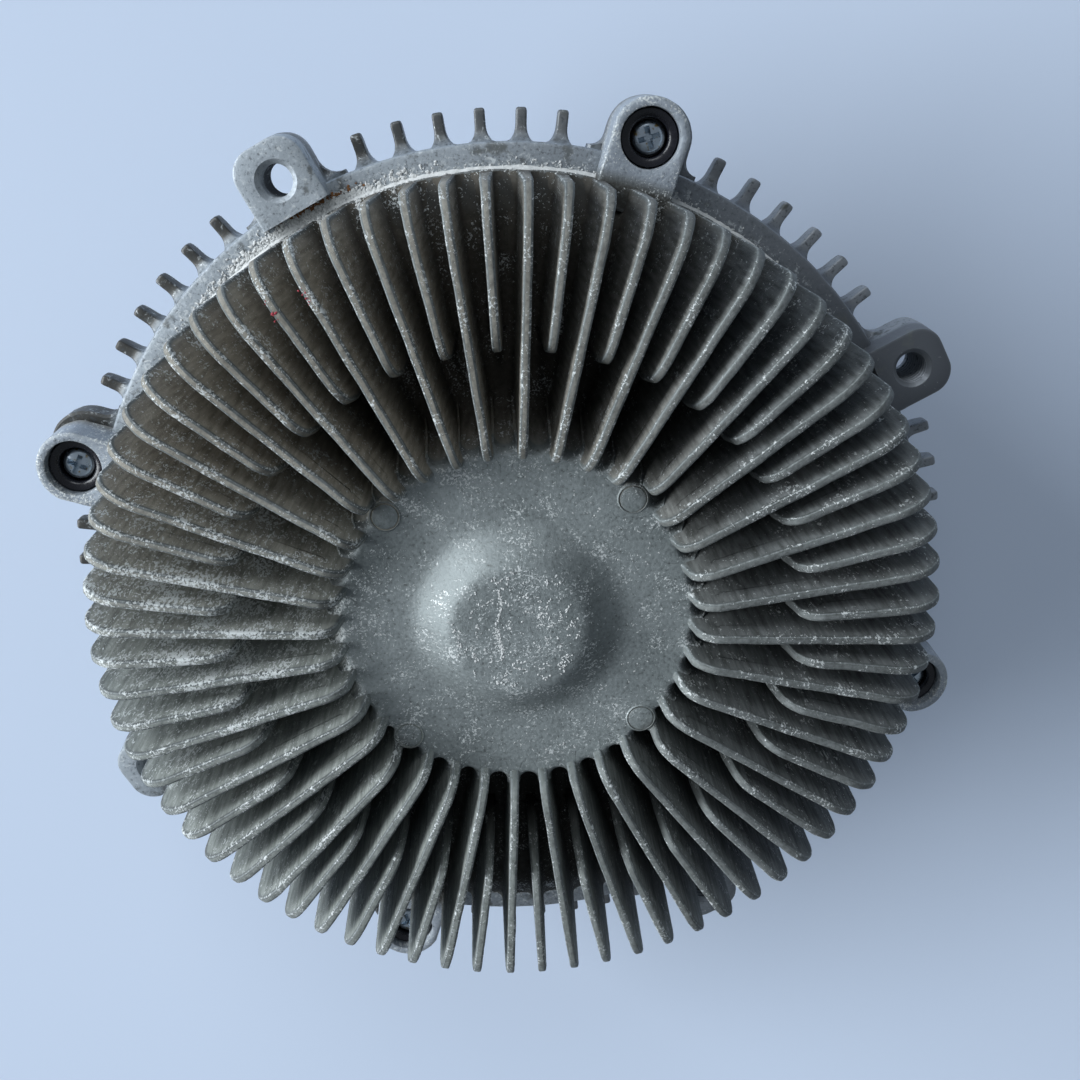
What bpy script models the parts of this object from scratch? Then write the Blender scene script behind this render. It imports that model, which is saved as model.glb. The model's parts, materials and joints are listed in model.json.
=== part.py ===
"""Viscous fan clutch with a finned cover, standing on its input flange.

The clutch axis is +Z and the finned face looks up. The origin is at the centre of the
flange's mounting face. All sizes below are millimetres, turned to metres by MM.
The housing (cover, rear body, screws, bearing outer ring) turns on the input shaft.
"""
import math

import bmesh
import bpy
from mathutils import Matrix, Vector

MM = 0.001

# Pattern: one place every five degrees carries a fin, a rib or the middle of an ear
PLACES = 72
SECTORS = 8
EAR_PHASE = 25.2
RIB_PHASE = 0.2
FIN_PHASE = 4.9

# Clearances
GAP = 0.3
RUNNING_GAP = 0.5

# Heights, stacked up from the flange's mounting face
FLANGE_T = 7.0
BOSS_STANDOFF = 14.0
CLIP_LAND = 2.9
SHOULDER_T = 2.5
WEB_T = 4.5
CHAMBER_DEPTH = 7.2
CHAMBER_LIP_H = 1.5
RING_LIP = 4.6
PEG_DROP = 5.3
EAR_PAD_H = 3.9
SCREW_EAR_H = 6.3
FLOOR_H = 6.2
HUB_H = 28.5
DOME_H = 5.5
FIN_H = 9.2

# Radii of the housing, from the cover's rim outward and inward
RIM_R = 89.9
RIM_W = 4.1
RING_W = 5.1
SEAT_W = 5.9
HUB_FLAT_R = 36.4
HUB_WALL_T = 4.6
DOME_FOOT_R = 22.3
DOME_TOP_R = 14.2
COVER_T = 4.5
DOME_T = 5.0
MARK_R = 3.1
MARK_INSET = 0.55
RING_R = RIM_R + GAP + RING_W
SEAT_STEP_R = RIM_R - SEAT_W

# Fins of the cover
FIN_SETBACK = 0.2
FIN_CORNER_R = 10.0
FIN_TIP_T = 1.7
FIN_DRAFT = 0.016
FIN_NOSE_R = 5.5
SHORT_FIN_R = 57.6
POCKET_R = 2.0
FIN_R = RIM_R - FIN_SETBACK

# Ribs of the rear body, which end in pegs outside the ring
PEG_L = 6.6
PEG_DEPTH = 4.9
RIB_T = 2.3
RIB_ROOT = 2.2
RIB_END_R = 62.0
RIB_BACK_H = 4.0
PEG_R = RING_R + PEG_L

# Cover screws and the cups that they sit in
SCREW_SHANK_R = 1.95
SCREW_HEAD_R = 3.6
SCREW_HEAD_H = 2.5
SCREW_L = 16.0
SCREW_PLAY = 0.35
DRIVER_ROOM = 1.15
CUP_WALL = 1.05
CUP_T = 0.8
CUP_H = 4.4
BORE_FLOOR_H = 2.8
SCREW_HOLE_R = SCREW_SHANK_R + SCREW_PLAY
CUP_IN_R = SCREW_HEAD_R + DRIVER_ROOM
BORE_R = CUP_IN_R + CUP_WALL + GAP

# Ears: threaded ones on the rear body, and the ones that the screws pass through
EAR_OUT = 4.7
EAR_WALL = 1.9
EAR_TIP_WALL = 2.1
EAR_CORNER = 5.5
SCREW_EAR_EXTRA = 2.0
SCREW_EAR_LEAN = -1.1
EAR_DEPTH = 15.5
EAR_BORE_R = 3.35
EAR_MOUTH_W = 0.9
EAR_R = RING_R + EAR_OUT
EAR_END_R = EAR_R + BORE_R + EAR_TIP_WALL
EAR_W = 2 * (BORE_R + EAR_WALL)
SCREW_EAR_W = EAR_W + SCREW_EAR_EXTRA
EAR_MOUTH_R = EAR_BORE_R + EAR_MOUTH_W

# Ball bearing and its circlip
BEARING_BORE_R = 12.5
BEARING_R = 26.0
BEARING_W = 15.0
RING_SPACE = 6.9
BALL_R = 3.97
BALLS = 9
SEAL_T = 1.0
SEAL_INSET = 0.6
CLIP_T = 1.2
CLIP_W = 3.4
CLIP_GROOVE = 1.4
BALL_CIRCLE_R = (BEARING_BORE_R + BEARING_R) / 2
RACE_IN_R = BALL_CIRCLE_R - RING_SPACE / 2
RACE_OUT_R = BALL_CIRCLE_R + RING_SPACE / 2

# Input shaft and flange
FLANGE_HOLES = 4
FLANGE_HOLE_R = 4.3
FLANGE_HOLE_CIRCLE_R = 30.5
FLANGE_EDGE = 4.2
PILOT_R = 11.0
PILOT_DEPTH = 9.0
NECK_WALL = 4.0
SHOULDER_W = 2.9
ROTOR_STEP = 3.5
STUB_STEP = 3.0
STUB_END = 2.0
FLANGE_R = FLANGE_HOLE_CIRCLE_R + FLANGE_HOLE_R + FLANGE_EDGE
NECK_R = BEARING_BORE_R + NECK_WALL
ROTOR_SEAT_R = BEARING_BORE_R - ROTOR_STEP
STUB_R = ROTOR_SEAT_R - STUB_STEP

# Rotor, washer and nut
ROTOR_SIDE_GAP = 3.0
ROTOR_FACE_GAP = 1.0
ROTOR_T = 6.0
ROTOR_HUB_WALL = 1.5
ROTOR_HUB_H = 13.0
WASHER_LAND = 2.0
WASHER_T = 1.7
NUT_WALL = 3.5
NUT_H = 7.0
ROTOR_R = SEAT_STEP_R - ROTOR_SIDE_GAP
ROTOR_HUB_R = BEARING_BORE_R + ROTOR_HUB_WALL
WASHER_R = ROTOR_SEAT_R + WASHER_LAND
NUT_FLATS = 2 * (STUB_R + NUT_WALL)

# Heights that follow from the stack
Z_BOSS = FLANGE_T + BOSS_STANDOFF
Z_CLIP = Z_BOSS + CLIP_LAND + GAP
Z_BEARING = Z_CLIP + CLIP_T + GAP
Z_BALLS = Z_BEARING + BEARING_W / 2
Z_BEARING_TOP = Z_BEARING + BEARING_W
Z_SHOULDER = Z_BEARING_TOP + GAP
Z_CHAMBER = Z_SHOULDER + SHOULDER_T
Z_WEB = Z_CHAMBER - WEB_T
Z_SEAT = Z_CHAMBER + CHAMBER_DEPTH
Z_RING = Z_SEAT + RING_LIP
Z_PEG = Z_RING - PEG_DROP
Z_EAR = Z_RING + EAR_PAD_H
Z_SCREW_EAR = Z_RING + SCREW_EAR_H
Z_RIM = Z_SEAT + GAP
Z_FLOOR = Z_RING + FLOOR_H
Z_HUB = Z_RING + HUB_H
Z_DOME = Z_HUB + DOME_H
Z_FIN = Z_HUB + FIN_H
Z_EAR_BACK = Z_EAR - EAR_DEPTH
Z_COVER_EAR = Z_RIM + 1.0
Z_BORE_FLOOR = Z_COVER_EAR + BORE_FLOOR_H

STEP = math.radians(360 / PLACES)
SECTOR = math.radians(360 / SECTORS)
THREADED_EARS = [math.radians(EAR_PHASE) + 2 * k * SECTOR for k in range(SECTORS // 2)]
SCREW_EARS = [math.radians(EAR_PHASE) + (2 * k + 1) * SECTOR for k in range(SECTORS // 2)]


# Scene, collections, materials

def clear_scene():
    for item in list(bpy.data.objects):
        bpy.data.objects.remove(item, do_unlink=True)


def collection(name):
    found = bpy.data.collections.new(name)
    bpy.context.scene.collection.children.link(found)
    return found


def material(name, colour, metallic, roughness):
    made = bpy.data.materials.new(name)
    made.use_nodes = True
    shader = made.node_tree.nodes["Principled BSDF"]
    shader.inputs["Base Color"].default_value = (*colour, 1.0)
    shader.inputs["Metallic"].default_value = metallic
    shader.inputs["Roughness"].default_value = roughness
    made.diffuse_color = (*colour, 1.0)
    return made


def empty(name, parent=None):
    made = bpy.data.objects.new(name, None)
    made.empty_display_size = 0.02
    made.parent = parent
    PARTS.objects.link(made)
    return made


# Shapes

def vector(x, y, z):
    return Vector((x, y, z)) * MM


def polar(radius, angle, height):
    return vector(radius * math.cos(angle), radius * math.sin(angle), height)


def arc(centre_x, centre_y, radius, start, end, steps):
    """Points of an arc, angles in degrees, both ends included."""
    points = []
    for i in range(steps + 1):
        angle = math.radians(start + (end - start) * i / steps)
        points.append((centre_x + radius * math.cos(angle), centre_y + radius * math.sin(angle)))
    return points


def tool(name, mesh, matrix=None):
    """An object that only cuts or joins others."""
    made = bpy.data.objects.new(name, mesh)
    made.hide_render = True
    made.display_type = "WIRE"
    if matrix is not None:
        made.matrix_world = matrix
    TOOLS.objects.link(made)
    return made


def mesh_of(bm, name):
    bmesh.ops.recalc_face_normals(bm, faces=bm.faces[:])
    mesh = bpy.data.meshes.new(name)
    bm.to_mesh(mesh)
    bm.free()
    return mesh


def profile_mesh(name, points, closed):
    """Edges of a turned profile in the XZ plane."""
    bm = bmesh.new()
    verts = [bm.verts.new(vector(r, 0, z)) for r, z in points]
    for a, b in zip(verts, verts[1:]):
        bm.edges.new((a, b))
    if closed:
        bm.edges.new((verts[-1], verts[0]))
    mesh = bpy.data.meshes.new(name)
    bm.to_mesh(mesh)
    bm.free()
    return mesh


def turn(made, segments):
    """Turn an object's profile round its own Z axis."""
    screw = made.modifiers.new("turn", "SCREW")
    screw.axis = "Z"
    screw.steps = segments
    screw.render_steps = segments
    screw.use_merge_vertices = True
    screw.merge_threshold = 0.00001
    screw.use_normal_calculate = False
    return made


def plate(name, outline, low, high):
    """A flat outline in XY raised from one height to another."""
    bm = bmesh.new()
    face = bm.faces.new([bm.verts.new(vector(x, y, low)) for x, y in outline])
    raised = bmesh.ops.extrude_face_region(bm, geom=[face])
    top = [g for g in raised["geom"] if isinstance(g, bmesh.types.BMVert)]
    bmesh.ops.translate(bm, verts=top, vec=Vector((0, 0, (high - low) * MM)))
    return mesh_of(bm, name)


def loft(name, rings, closed=False):
    """Skin over rings that have the same number of points, capped or joined end to end."""
    bm = bmesh.new()
    rows = [[bm.verts.new(point) for point in ring] for ring in rings]
    if closed:
        rows.append(rows[0])
    else:
        bm.faces.new(rows[0])
        bm.faces.new(list(reversed(rows[-1])))
    for low, high in zip(rows, rows[1:]):
        for i in range(len(low)):
            j = (i + 1) % len(low)
            bm.faces.new((low[i], high[i], high[j], low[j]))
    return mesh_of(bm, name)


def joined(name, meshes):
    """Several meshes in one, each with its own matrix."""
    bm = bmesh.new()
    for mesh, matrix in meshes:
        start = len(bm.verts)
        bm.from_mesh(mesh)
        bm.verts.ensure_lookup_table()
        bmesh.ops.transform(bm, matrix=matrix, verts=bm.verts[start:])
    return mesh_of(bm, name)


def cylinder(name, radius, low, high, segments, top_radius=None):
    bm = bmesh.new()
    bmesh.ops.create_cone(
        bm,
        cap_ends=True,
        segments=segments,
        radius1=radius * MM,
        radius2=(radius if top_radius is None else top_radius) * MM,
        depth=(high - low) * MM,
        matrix=Matrix.Translation(vector(0, 0, (high + low) / 2)),
    )
    return mesh_of(bm, name)


def spun(angle):
    return Matrix.Rotation(angle, 4, "Z")


def at_ear(angle, radius=None):
    """Frame of an ear: X runs outward along its middle, Z stays up."""
    out = Matrix.Translation(vector(EAR_R if radius is None else radius, 0, 0))
    return spun(angle) @ out


def combine(made, other, operation):
    boolean = made.modifiers.new(other.name, "BOOLEAN")
    boolean.operation = operation
    boolean.solver = "EXACT"
    boolean.object = other
    return made


def finish(made, look, parent, origin_z=0.0, sharp=32.0):
    """Apply the modifiers, set origin, material, smooth faces and sharp edges."""
    bpy.context.view_layer.update()
    graph = bpy.context.evaluated_depsgraph_get()
    mesh = bpy.data.meshes.new_from_object(made.evaluated_get(graph))
    made.modifiers.clear()
    made.data = mesh
    mesh.transform(Matrix.Translation(vector(0, 0, -origin_z)))
    made.location = made.location + vector(0, 0, origin_z)
    mesh.materials.clear()
    mesh.materials.append(look)
    for polygon in mesh.polygons:
        polygon.material_index = 0
    mesh.shade_smooth()
    mesh.set_sharp_from_angle(angle=math.radians(sharp))
    made.parent = parent
    return made


def piece(name, mesh):
    made = bpy.data.objects.new(name, mesh)
    PARTS.objects.link(made)
    return made


# Front cover

def fin_half_thickness(height):
    return FIN_TIP_T / 2 + (Z_FIN - height) * FIN_DRAFT


def fin(name, profile):
    """A drafted fin: its outline in XZ, thicker towards its foot."""
    near = [vector(r, -fin_half_thickness(z), z) for r, z in profile]
    far = [vector(r, fin_half_thickness(z), z) for r, z in profile]
    return loft(name, [near, far])


def fin_profile(foot_r, nose_r, start_z):
    """Outline from the foot up the nose, along the crest and down the outer edge."""
    foot = (Z_RIM + Z_FLOOR) / 2 - 1.0
    drop = 0.4
    points = [(foot_r, foot), (foot_r + 0.6, start_z)]
    points += arc(nose_r + FIN_NOSE_R, Z_FIN - FIN_NOSE_R, FIN_NOSE_R, 168, 90, 2)
    points += arc(FIN_R - FIN_CORNER_R, Z_FIN - drop - FIN_CORNER_R, FIN_CORNER_R, 90, 0, 3)
    points.append((FIN_R, foot))
    return points


def hub_ring(middle_r, height, inset):
    """Outline of the hub: between two long fins the pocket ends in a round arch."""
    points = []
    fins = PLACES // 2
    for k in range(fins):
        middle = math.radians(FIN_PHASE) + (2 * k + 1) * STEP
        for turn_angle in (-100, -35, 35, 100):
            swing = math.radians(turn_angle)
            side = (POCKET_R + inset) * math.sin(swing)
            out = middle_r + (POCKET_R + inset) * (1 - math.cos(swing))
            points.append(spun(middle) @ vector(out, side, height))
    return points


def front_cover():
    disc = piece("front_cover", profile_mesh("front_cover", [
        (0, Z_FLOOR),
        (RIM_R - 7.6, Z_FLOOR),
        (RIM_R, Z_RING + 1.0),
        (RIM_R, Z_RIM),
        (0, Z_RIM),
    ], False))
    disc.rotation_euler.z = math.radians(FIN_PHASE)
    turn(disc, PLACES)

    wall_low = hub_ring(HUB_FLAT_R + 4.0, Z_FLOOR - 2.0, 0.0)
    wall_high = hub_ring(HUB_FLAT_R + 1.8, Z_HUB - 2.6, 0.0)
    flat = hub_ring(HUB_FLAT_R, Z_HUB, 0.4)
    hub = tool("hub", loft("hub", [wall_low, wall_high, flat]))

    dome = tool("dome", profile_mesh("dome", [
        (0, Z_DOME),
        (DOME_TOP_R - 1.0, Z_DOME - 0.05),
        (DOME_TOP_R + 1.2, Z_DOME - 0.45),
        (DOME_TOP_R + 2.9, Z_DOME - 1.6),
        (DOME_FOOT_R - 1.9, Z_HUB + 0.8),
        (DOME_FOOT_R, Z_HUB),
        (DOME_FOOT_R, Z_HUB - 3.0),
        (0, Z_HUB - 3.0),
    ], False))
    turn(dome, 24)

    long_profile = fin_profile(HUB_FLAT_R - 0.9, HUB_FLAT_R + 0.5, Z_HUB - 1.0)
    short_profile = fin_profile(SHORT_FIN_R - 1.0, SHORT_FIN_R + 0.6, Z_HUB - 1.0)
    long_fin = fin("long_fin", long_profile)
    short_fin = fin("short_fin", short_profile)
    phase = math.radians(FIN_PHASE)
    long_fins = tool("long_fins", joined("long_fins", [
        (long_fin, spun(phase + 2 * k * STEP)) for k in range(PLACES // 2)]))
    short_fins = tool("short_fins", joined("short_fins", [
        (short_fin, spun(phase + (2 * k + 1) * STEP)) for k in range(PLACES // 2)]))

    half = EAR_W / 2 - 0.4
    inner = RIM_R - 5.5 - EAR_R
    end = EAR_END_R - EAR_R - 0.2
    swing = math.degrees(math.asin(half / end))
    rounded = arc(0, 0, end, -swing, swing, 8)

    def ear_ring(height, grow):
        line = [(inner, -half - grow)] + [(x * (end + grow) / end, y * (end + grow) / end)
                                          for x, y in rounded] + [(inner, half + grow)]
        return [vector(x, y, height) for x, y in line]

    ear = loft("cover_ear", [ear_ring(Z_COVER_EAR, 0.2), ear_ring(Z_SCREW_EAR, -0.2)])
    ears = tool("cover_ears", joined("cover_ears", [(ear, at_ear(a)) for a in SCREW_EARS]))

    mark = cylinder("mark", MARK_R, Z_HUB - 8.0, Z_HUB + 0.2, 12)
    mark_at = Matrix.Translation(vector(HUB_FLAT_R - MARK_INSET, 0, 0))
    marks = tool("marks", joined("marks", [
        (mark, spun(math.radians(45 + 90 * k)) @ mark_at)
        for k in range(4)]))

    chamber_r = RIM_R - RIM_W
    roof = Z_FLOOR - COVER_T
    hub_in = HUB_FLAT_R + 2.2 - HUB_WALL_T
    cavity = tool("cavity", profile_mesh("cavity", [
        (0, Z_HUB - DOME_T),
        (hub_in - 2.0, Z_HUB - DOME_T),
        (hub_in + 2.0, roof),
        (chamber_r, roof),
        (chamber_r, Z_RIM - 3.0),
        (0, Z_RIM - 3.0),
    ], False))
    turn(cavity, 24)

    bore = cylinder("bore", BORE_R, Z_BORE_FLOOR, Z_SCREW_EAR + 2.0, 16)
    hole = cylinder("hole", SCREW_HOLE_R, Z_COVER_EAR - 2.0, Z_BORE_FLOOR + 1.0, 10)
    bores = tool("bores", joined("bores", [(bore, at_ear(a)) for a in SCREW_EARS]))
    holes = tool("holes", joined("holes", [(hole, at_ear(a)) for a in SCREW_EARS]))

    for other in (hub, dome, long_fins, short_fins, ears, marks):
        combine(disc, other, "UNION")
    for other in (cavity, bores, holes):
        combine(disc, other, "DIFFERENCE")
    return finish(disc, CAST, HOUSING, Z_RIM)


# Rear body

def rib():
    """A rib as sections across it: inner end, back of the web, root flare and peg."""
    back = Z_WEB - RIB_BACK_H
    half = RIB_T / 2
    flare = half + 0.9 * RIB_ROOT
    inside = Z_WEB + WEB_T / 2
    sections = [
        (RIB_END_R, Z_WEB - 0.4, inside, half),
        (RING_R - 7.5, back, inside, half),
        (RING_R - 0.5, Z_PEG - PEG_DEPTH - 0.6, Z_RING - 0.1, flare),
        (RING_R + RIB_ROOT, Z_PEG - PEG_DEPTH, Z_PEG + 0.3, half),
        (PEG_R, Z_PEG - PEG_DEPTH + 1.6, Z_PEG, half),
    ]
    rings = []
    for radius, low, high, width in sections:
        rings.append([
            vector(radius, -width, low),
            vector(radius, width, low),
            vector(radius, width, high),
            vector(radius, -width, high),
        ])
    return loft("rib", rings)


def ear_outline(half, end, corner, inner, root):
    """Plan of an ear about its hole: straight sides, rounded corners, flared root."""
    line = [(inner, -half - root)]
    if root > 0:
        line += [(RING_R - EAR_R + 0.4, -half - 0.6 * root), (RING_R - EAR_R + root, -half)]
    line += arc(end - corner, -half + corner, corner, -90, -6, 3)
    right = [(x, -y) for x, y in reversed(line)]
    return line + right


def rear_body():
    bore = BEARING_R + GAP
    body = piece("rear_body", profile_mesh("rear_body", [
        (RIM_R + GAP, Z_RING),
        (RING_R, Z_RING),
        (RING_R - 6.0, Z_WEB),
        (bore + 3.7, Z_WEB),
        (bore + 3.7, Z_CHAMBER),
        (SEAT_STEP_R, Z_CHAMBER),
        (SEAT_STEP_R, Z_SEAT),
        (RIM_R + GAP, Z_SEAT),
    ], True))
    body.rotation_euler.z = math.radians(RIB_PHASE)
    turn(body, PLACES)

    clip_low = Z_CLIP - GAP
    boss = tool("boss", profile_mesh("boss", [
        (bore - 3.8, Z_CHAMBER + CHAMBER_LIP_H),
        (bore + 5.5, Z_CHAMBER + CHAMBER_LIP_H),
        (bore + 10.5, Z_WEB + 0.6),
        (bore + 8.2, Z_WEB - 3.0),
        (bore + 7.4, Z_BOSS + 1.0),
        (bore + 6.4, Z_BOSS),
        (bore, Z_BOSS),
        (bore, clip_low),
        (bore + CLIP_GROOVE, clip_low),
        (bore + CLIP_GROOVE, Z_BEARING),
        (bore, Z_BEARING),
        (bore, Z_SHOULDER),
        (bore - 3.8, Z_SHOULDER),
    ], True))
    turn(boss, 24)

    one = rib()
    half_sector = SECTOR / 2
    ribs = tool("ribs", joined("ribs", [
        (one, spun(math.radians(EAR_PHASE) + half_sector + k * SECTOR + i * STEP / 2))
        for k in range(SECTORS) for i in (-7, -5, -3, -1, 1, 3, 5, 7)]))

    half = EAR_W / 2
    end = EAR_END_R - EAR_R
    inner = RIM_R + GAP + 2.4 - EAR_R
    wide = ear_outline(half + 0.3, end + 0.3, EAR_CORNER, inner, 2.4)
    back = ear_outline(half - 1.0, end - 1.2, EAR_CORNER, inner, 2.4)
    low = loft("ear_low", [
        [vector(x, y, Z_EAR_BACK) for x, y in back],
        [vector(x, y, Z_EAR_BACK + 3.5) for x, y in wide],
        [vector(x, y, Z_PEG + 1.2) for x, y in wide],
    ])
    wide = ear_outline(SCREW_EAR_W / 2, end + 0.6, SCREW_EAR_W / 2 - 0.8, inner, 1.8)
    screw_low = plate("screw_ear_low", [(x, y + SCREW_EAR_LEAN) for x, y in wide],
                      Z_EAR_BACK + 0.8, Z_PEG + 1.2)
    pad_ring = ear_outline(half + 0.2, end + 0.2, EAR_CORNER, inner, 0.0)
    pad_in = ear_outline(half - 0.2, end - 0.2, EAR_CORNER, inner, 0.0)
    pad = loft("ear_pad", [
        [vector(x, y, Z_PEG - 3.0) for x, y in pad_ring],
        [vector(x, y, Z_EAR) for x, y in pad_in],
    ])
    low_ears = tool("low_ears", joined("low_ears", [(low, at_ear(a)) for a in THREADED_EARS]))
    screw_ears = tool("screw_ears", joined("screw_ears", [(screw_low, at_ear(a)) for a in SCREW_EARS]))
    pads = tool("ear_pads", joined("ear_pads", [(pad, at_ear(a)) for a in THREADED_EARS]))

    thread = cylinder("thread", EAR_BORE_R, Z_EAR_BACK - 2.0, Z_EAR + 2.0, 16)
    mouth_h = EAR_MOUTH_R - EAR_BORE_R + 0.3
    mouth = cylinder("mouth", EAR_BORE_R - 0.3, Z_EAR - mouth_h, Z_EAR + 0.3, 16,
                     EAR_MOUTH_R + 0.3)
    threads = tool("threads", joined("threads", [(thread, at_ear(a)) for a in THREADED_EARS]))
    mouths = tool("mouths", joined("mouths", [(mouth, at_ear(a)) for a in THREADED_EARS]))

    clear = EAR_W / 2 - 0.2 + GAP
    notch = plate("notch", [
        (RIM_R - 1.0 - EAR_R, -clear), (EAR_W, -clear), (EAR_W, clear), (RIM_R - 1.0 - EAR_R, clear)],
        Z_COVER_EAR - GAP, Z_RING + 4.0)
    tap = cylinder("tap", SCREW_SHANK_R + GAP, Z_EAR_BACK - 2.0, Z_RING, 12)
    notches = tool("notches", joined("notches", [(notch, at_ear(a)) for a in SCREW_EARS]))
    taps = tool("taps", joined("taps", [(tap, at_ear(a)) for a in SCREW_EARS]))

    for other in (boss, ribs, low_ears, screw_ears, pads):
        combine(body, other, "UNION")
    for other in (notches, threads, mouths, taps):
        combine(body, other, "DIFFERENCE")
    return finish(body, MACHINED, HOUSING, Z_WEB)


# Cover screws and cups

def cover_fasteners():
    cup_low = Z_BORE_FLOOR + GAP
    cup_r = BORE_R - GAP
    head_low = cup_low + CUP_T + GAP
    cup = profile_mesh("screw_cup", [
        (cup_r, CUP_H),
        (cup_r, 0),
        (SCREW_HOLE_R, 0),
        (SCREW_HOLE_R, CUP_T),
        (CUP_IN_R - 0.3, CUP_T),
        (CUP_IN_R, CUP_H),
    ], True)
    shank_end = SCREW_HEAD_H - SCREW_L
    screw = profile_mesh("cover_screw", [
        (0, SCREW_HEAD_H),
        (SCREW_HEAD_R * 0.7, SCREW_HEAD_H - 0.2),
        (SCREW_HEAD_R, SCREW_HEAD_H - 1.2),
        (SCREW_HEAD_R, 0),
        (SCREW_SHANK_R, 0),
        (SCREW_SHANK_R, shank_end),
        (0, shank_end),
    ], False)
    for k, angle in enumerate(SCREW_EARS):
        made = piece("screw_cup_%d" % (k + 1), cup.copy())
        made.location = polar(EAR_R, angle, cup_low)
        turn(made, 12)
        finish(made, RUBBER, HOUSING)
        made = piece("cover_screw_%d" % (k + 1), screw.copy())
        made.location = polar(EAR_R, angle, head_low)
        turn(made, 12)
        finish(made, ZINC, HOUSING)


# Bearing

def bearing():
    inner_r = RACE_IN_R
    outer_r = RACE_OUT_R
    track_in = BALL_CIRCLE_R - BALL_R - RUNNING_GAP
    track_out = BALL_CIRCLE_R + BALL_R + RUNNING_GAP
    middle = BEARING_W / 2
    groove = 0.9 * BALL_R

    made = piece("bearing_inner_ring", profile_mesh("bearing_inner_ring", [
        (BEARING_BORE_R, BEARING_W),
        (inner_r, BEARING_W),
        (inner_r, middle + groove),
        (track_in, middle),
        (inner_r, middle - groove),
        (inner_r, 0),
        (BEARING_BORE_R, 0),
    ], True))
    made.location.z = Z_BEARING * MM
    turn(made, 20)
    finish(made, STEEL, INPUT)

    made = piece("bearing_outer_ring", profile_mesh("bearing_outer_ring", [
        (BEARING_R, BEARING_W),
        (BEARING_R, 0),
        (outer_r, 0),
        (outer_r, middle - groove),
        (track_out, middle),
        (outer_r, middle + groove),
        (outer_r, BEARING_W),
    ], True))
    made.location.z = Z_BEARING * MM
    turn(made, 20)
    finish(made, STEEL, HOUSING)

    made = piece("bearing_seal", profile_mesh("bearing_seal", [
        (outer_r - RUNNING_GAP, SEAL_T),
        (outer_r - RUNNING_GAP, 0),
        (inner_r + GAP, 0),
        (inner_r + GAP, SEAL_T),
    ], True))
    made.location.z = (Z_BEARING + SEAL_INSET) * MM
    turn(made, 20)
    finish(made, RUBBER, HOUSING)

    turn_by = 2 * math.pi / BALLS
    band = BALL_R + 5.5 * GAP
    rings = []
    for k in range(2 * BALLS):
        low = band if k % 2 == 0 else 0.2
        angle = k * turn_by / 2
        rings.append([
            polar(BALL_CIRCLE_R - 1.4, angle, Z_BALLS + low),
            polar(BALL_CIRCLE_R + 1.4, angle, Z_BALLS + low),
            polar(BALL_CIRCLE_R + 1.4, angle, Z_BALLS + band + 1.0),
            polar(BALL_CIRCLE_R - 1.4, angle, Z_BALLS + band + 1.0),
        ])
    cage = piece("bearing_cage", loft("bearing_cage", rings, True))
    finish(cage, BRASS, CAGE, Z_BALLS)

    for k in range(BALLS):
        bm = bmesh.new()
        bmesh.ops.create_icosphere(bm, subdivisions=1, radius=BALL_R * MM)
        ball = piece("bearing_ball_%d" % (k + 1), mesh_of(bm, "bearing_ball"))
        ball.location = polar(BALL_CIRCLE_R, k * turn_by, Z_BALLS)
        finish(ball, STEEL, CAGE, sharp=60)


def circlip():
    """Internal circlip in the boss groove, open at one side, with two lugs."""
    outer = BEARING_R + CLIP_GROOVE
    inner = outer - CLIP_W
    outline = arc(0, 0, outer, 14, 346, 20)
    outline += arc(0, 0, inner - 2.0, 346, 338, 1)
    outline += arc(0, 0, inner, 332, 28, 14)
    outline += arc(0, 0, inner - 2.0, 22, 14, 1)
    high = Z_CLIP + CLIP_T
    made = piece("bearing_circlip", plate("bearing_circlip", outline, Z_CLIP, high))
    finish(made, STEEL, HOUSING, high)


# Input shaft, rotor, washer and nut

def input_shaft():
    seat = BEARING_BORE_R - GAP
    shoulder = Z_BEARING - GAP
    hub_low = Z_BEARING_TOP + GAP
    stub = hub_low + ROTOR_HUB_H - 1.0
    seat_end = Z_BEARING_TOP - 0.5
    end = hub_low + ROTOR_HUB_H + GAP + WASHER_T + GAP + NUT_H + STUB_END
    shaft = piece("input_shaft", profile_mesh("input_shaft", [
        (0, end),
        (STUB_R, end),
        (STUB_R, stub),
        (ROTOR_SEAT_R, stub),
        (ROTOR_SEAT_R, seat_end),
        (seat, seat_end),
        (seat, shoulder),
        (seat + SHOULDER_W, shoulder),
        (seat + SHOULDER_W, Z_BOSS - 4.0),
        (NECK_R + 2.0, FLANGE_T + 3.4),
        (NECK_R + 4.5, FLANGE_T),
        (FLANGE_R - 0.8, FLANGE_T),
        (FLANGE_R, FLANGE_T - 0.8),
        (FLANGE_R, 0),
        (PILOT_R, 0),
        (PILOT_R, PILOT_DEPTH),
        (0, PILOT_DEPTH + 2.0),
    ], False))
    turn(shaft, 24)
    hole = cylinder("stud_hole", FLANGE_HOLE_R, -2.0, FLANGE_T + 2.0, 14)
    turn_by = 2 * math.pi / FLANGE_HOLES
    holes = tool("stud_holes", joined("stud_holes", [
        (hole, spun((k + 0.5) * turn_by) @ Matrix.Translation(vector(FLANGE_HOLE_CIRCLE_R, 0, 0)))
        for k in range(FLANGE_HOLES)]))
    combine(shaft, holes, "DIFFERENCE")
    finish(shaft, STEEL, INPUT)


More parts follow.
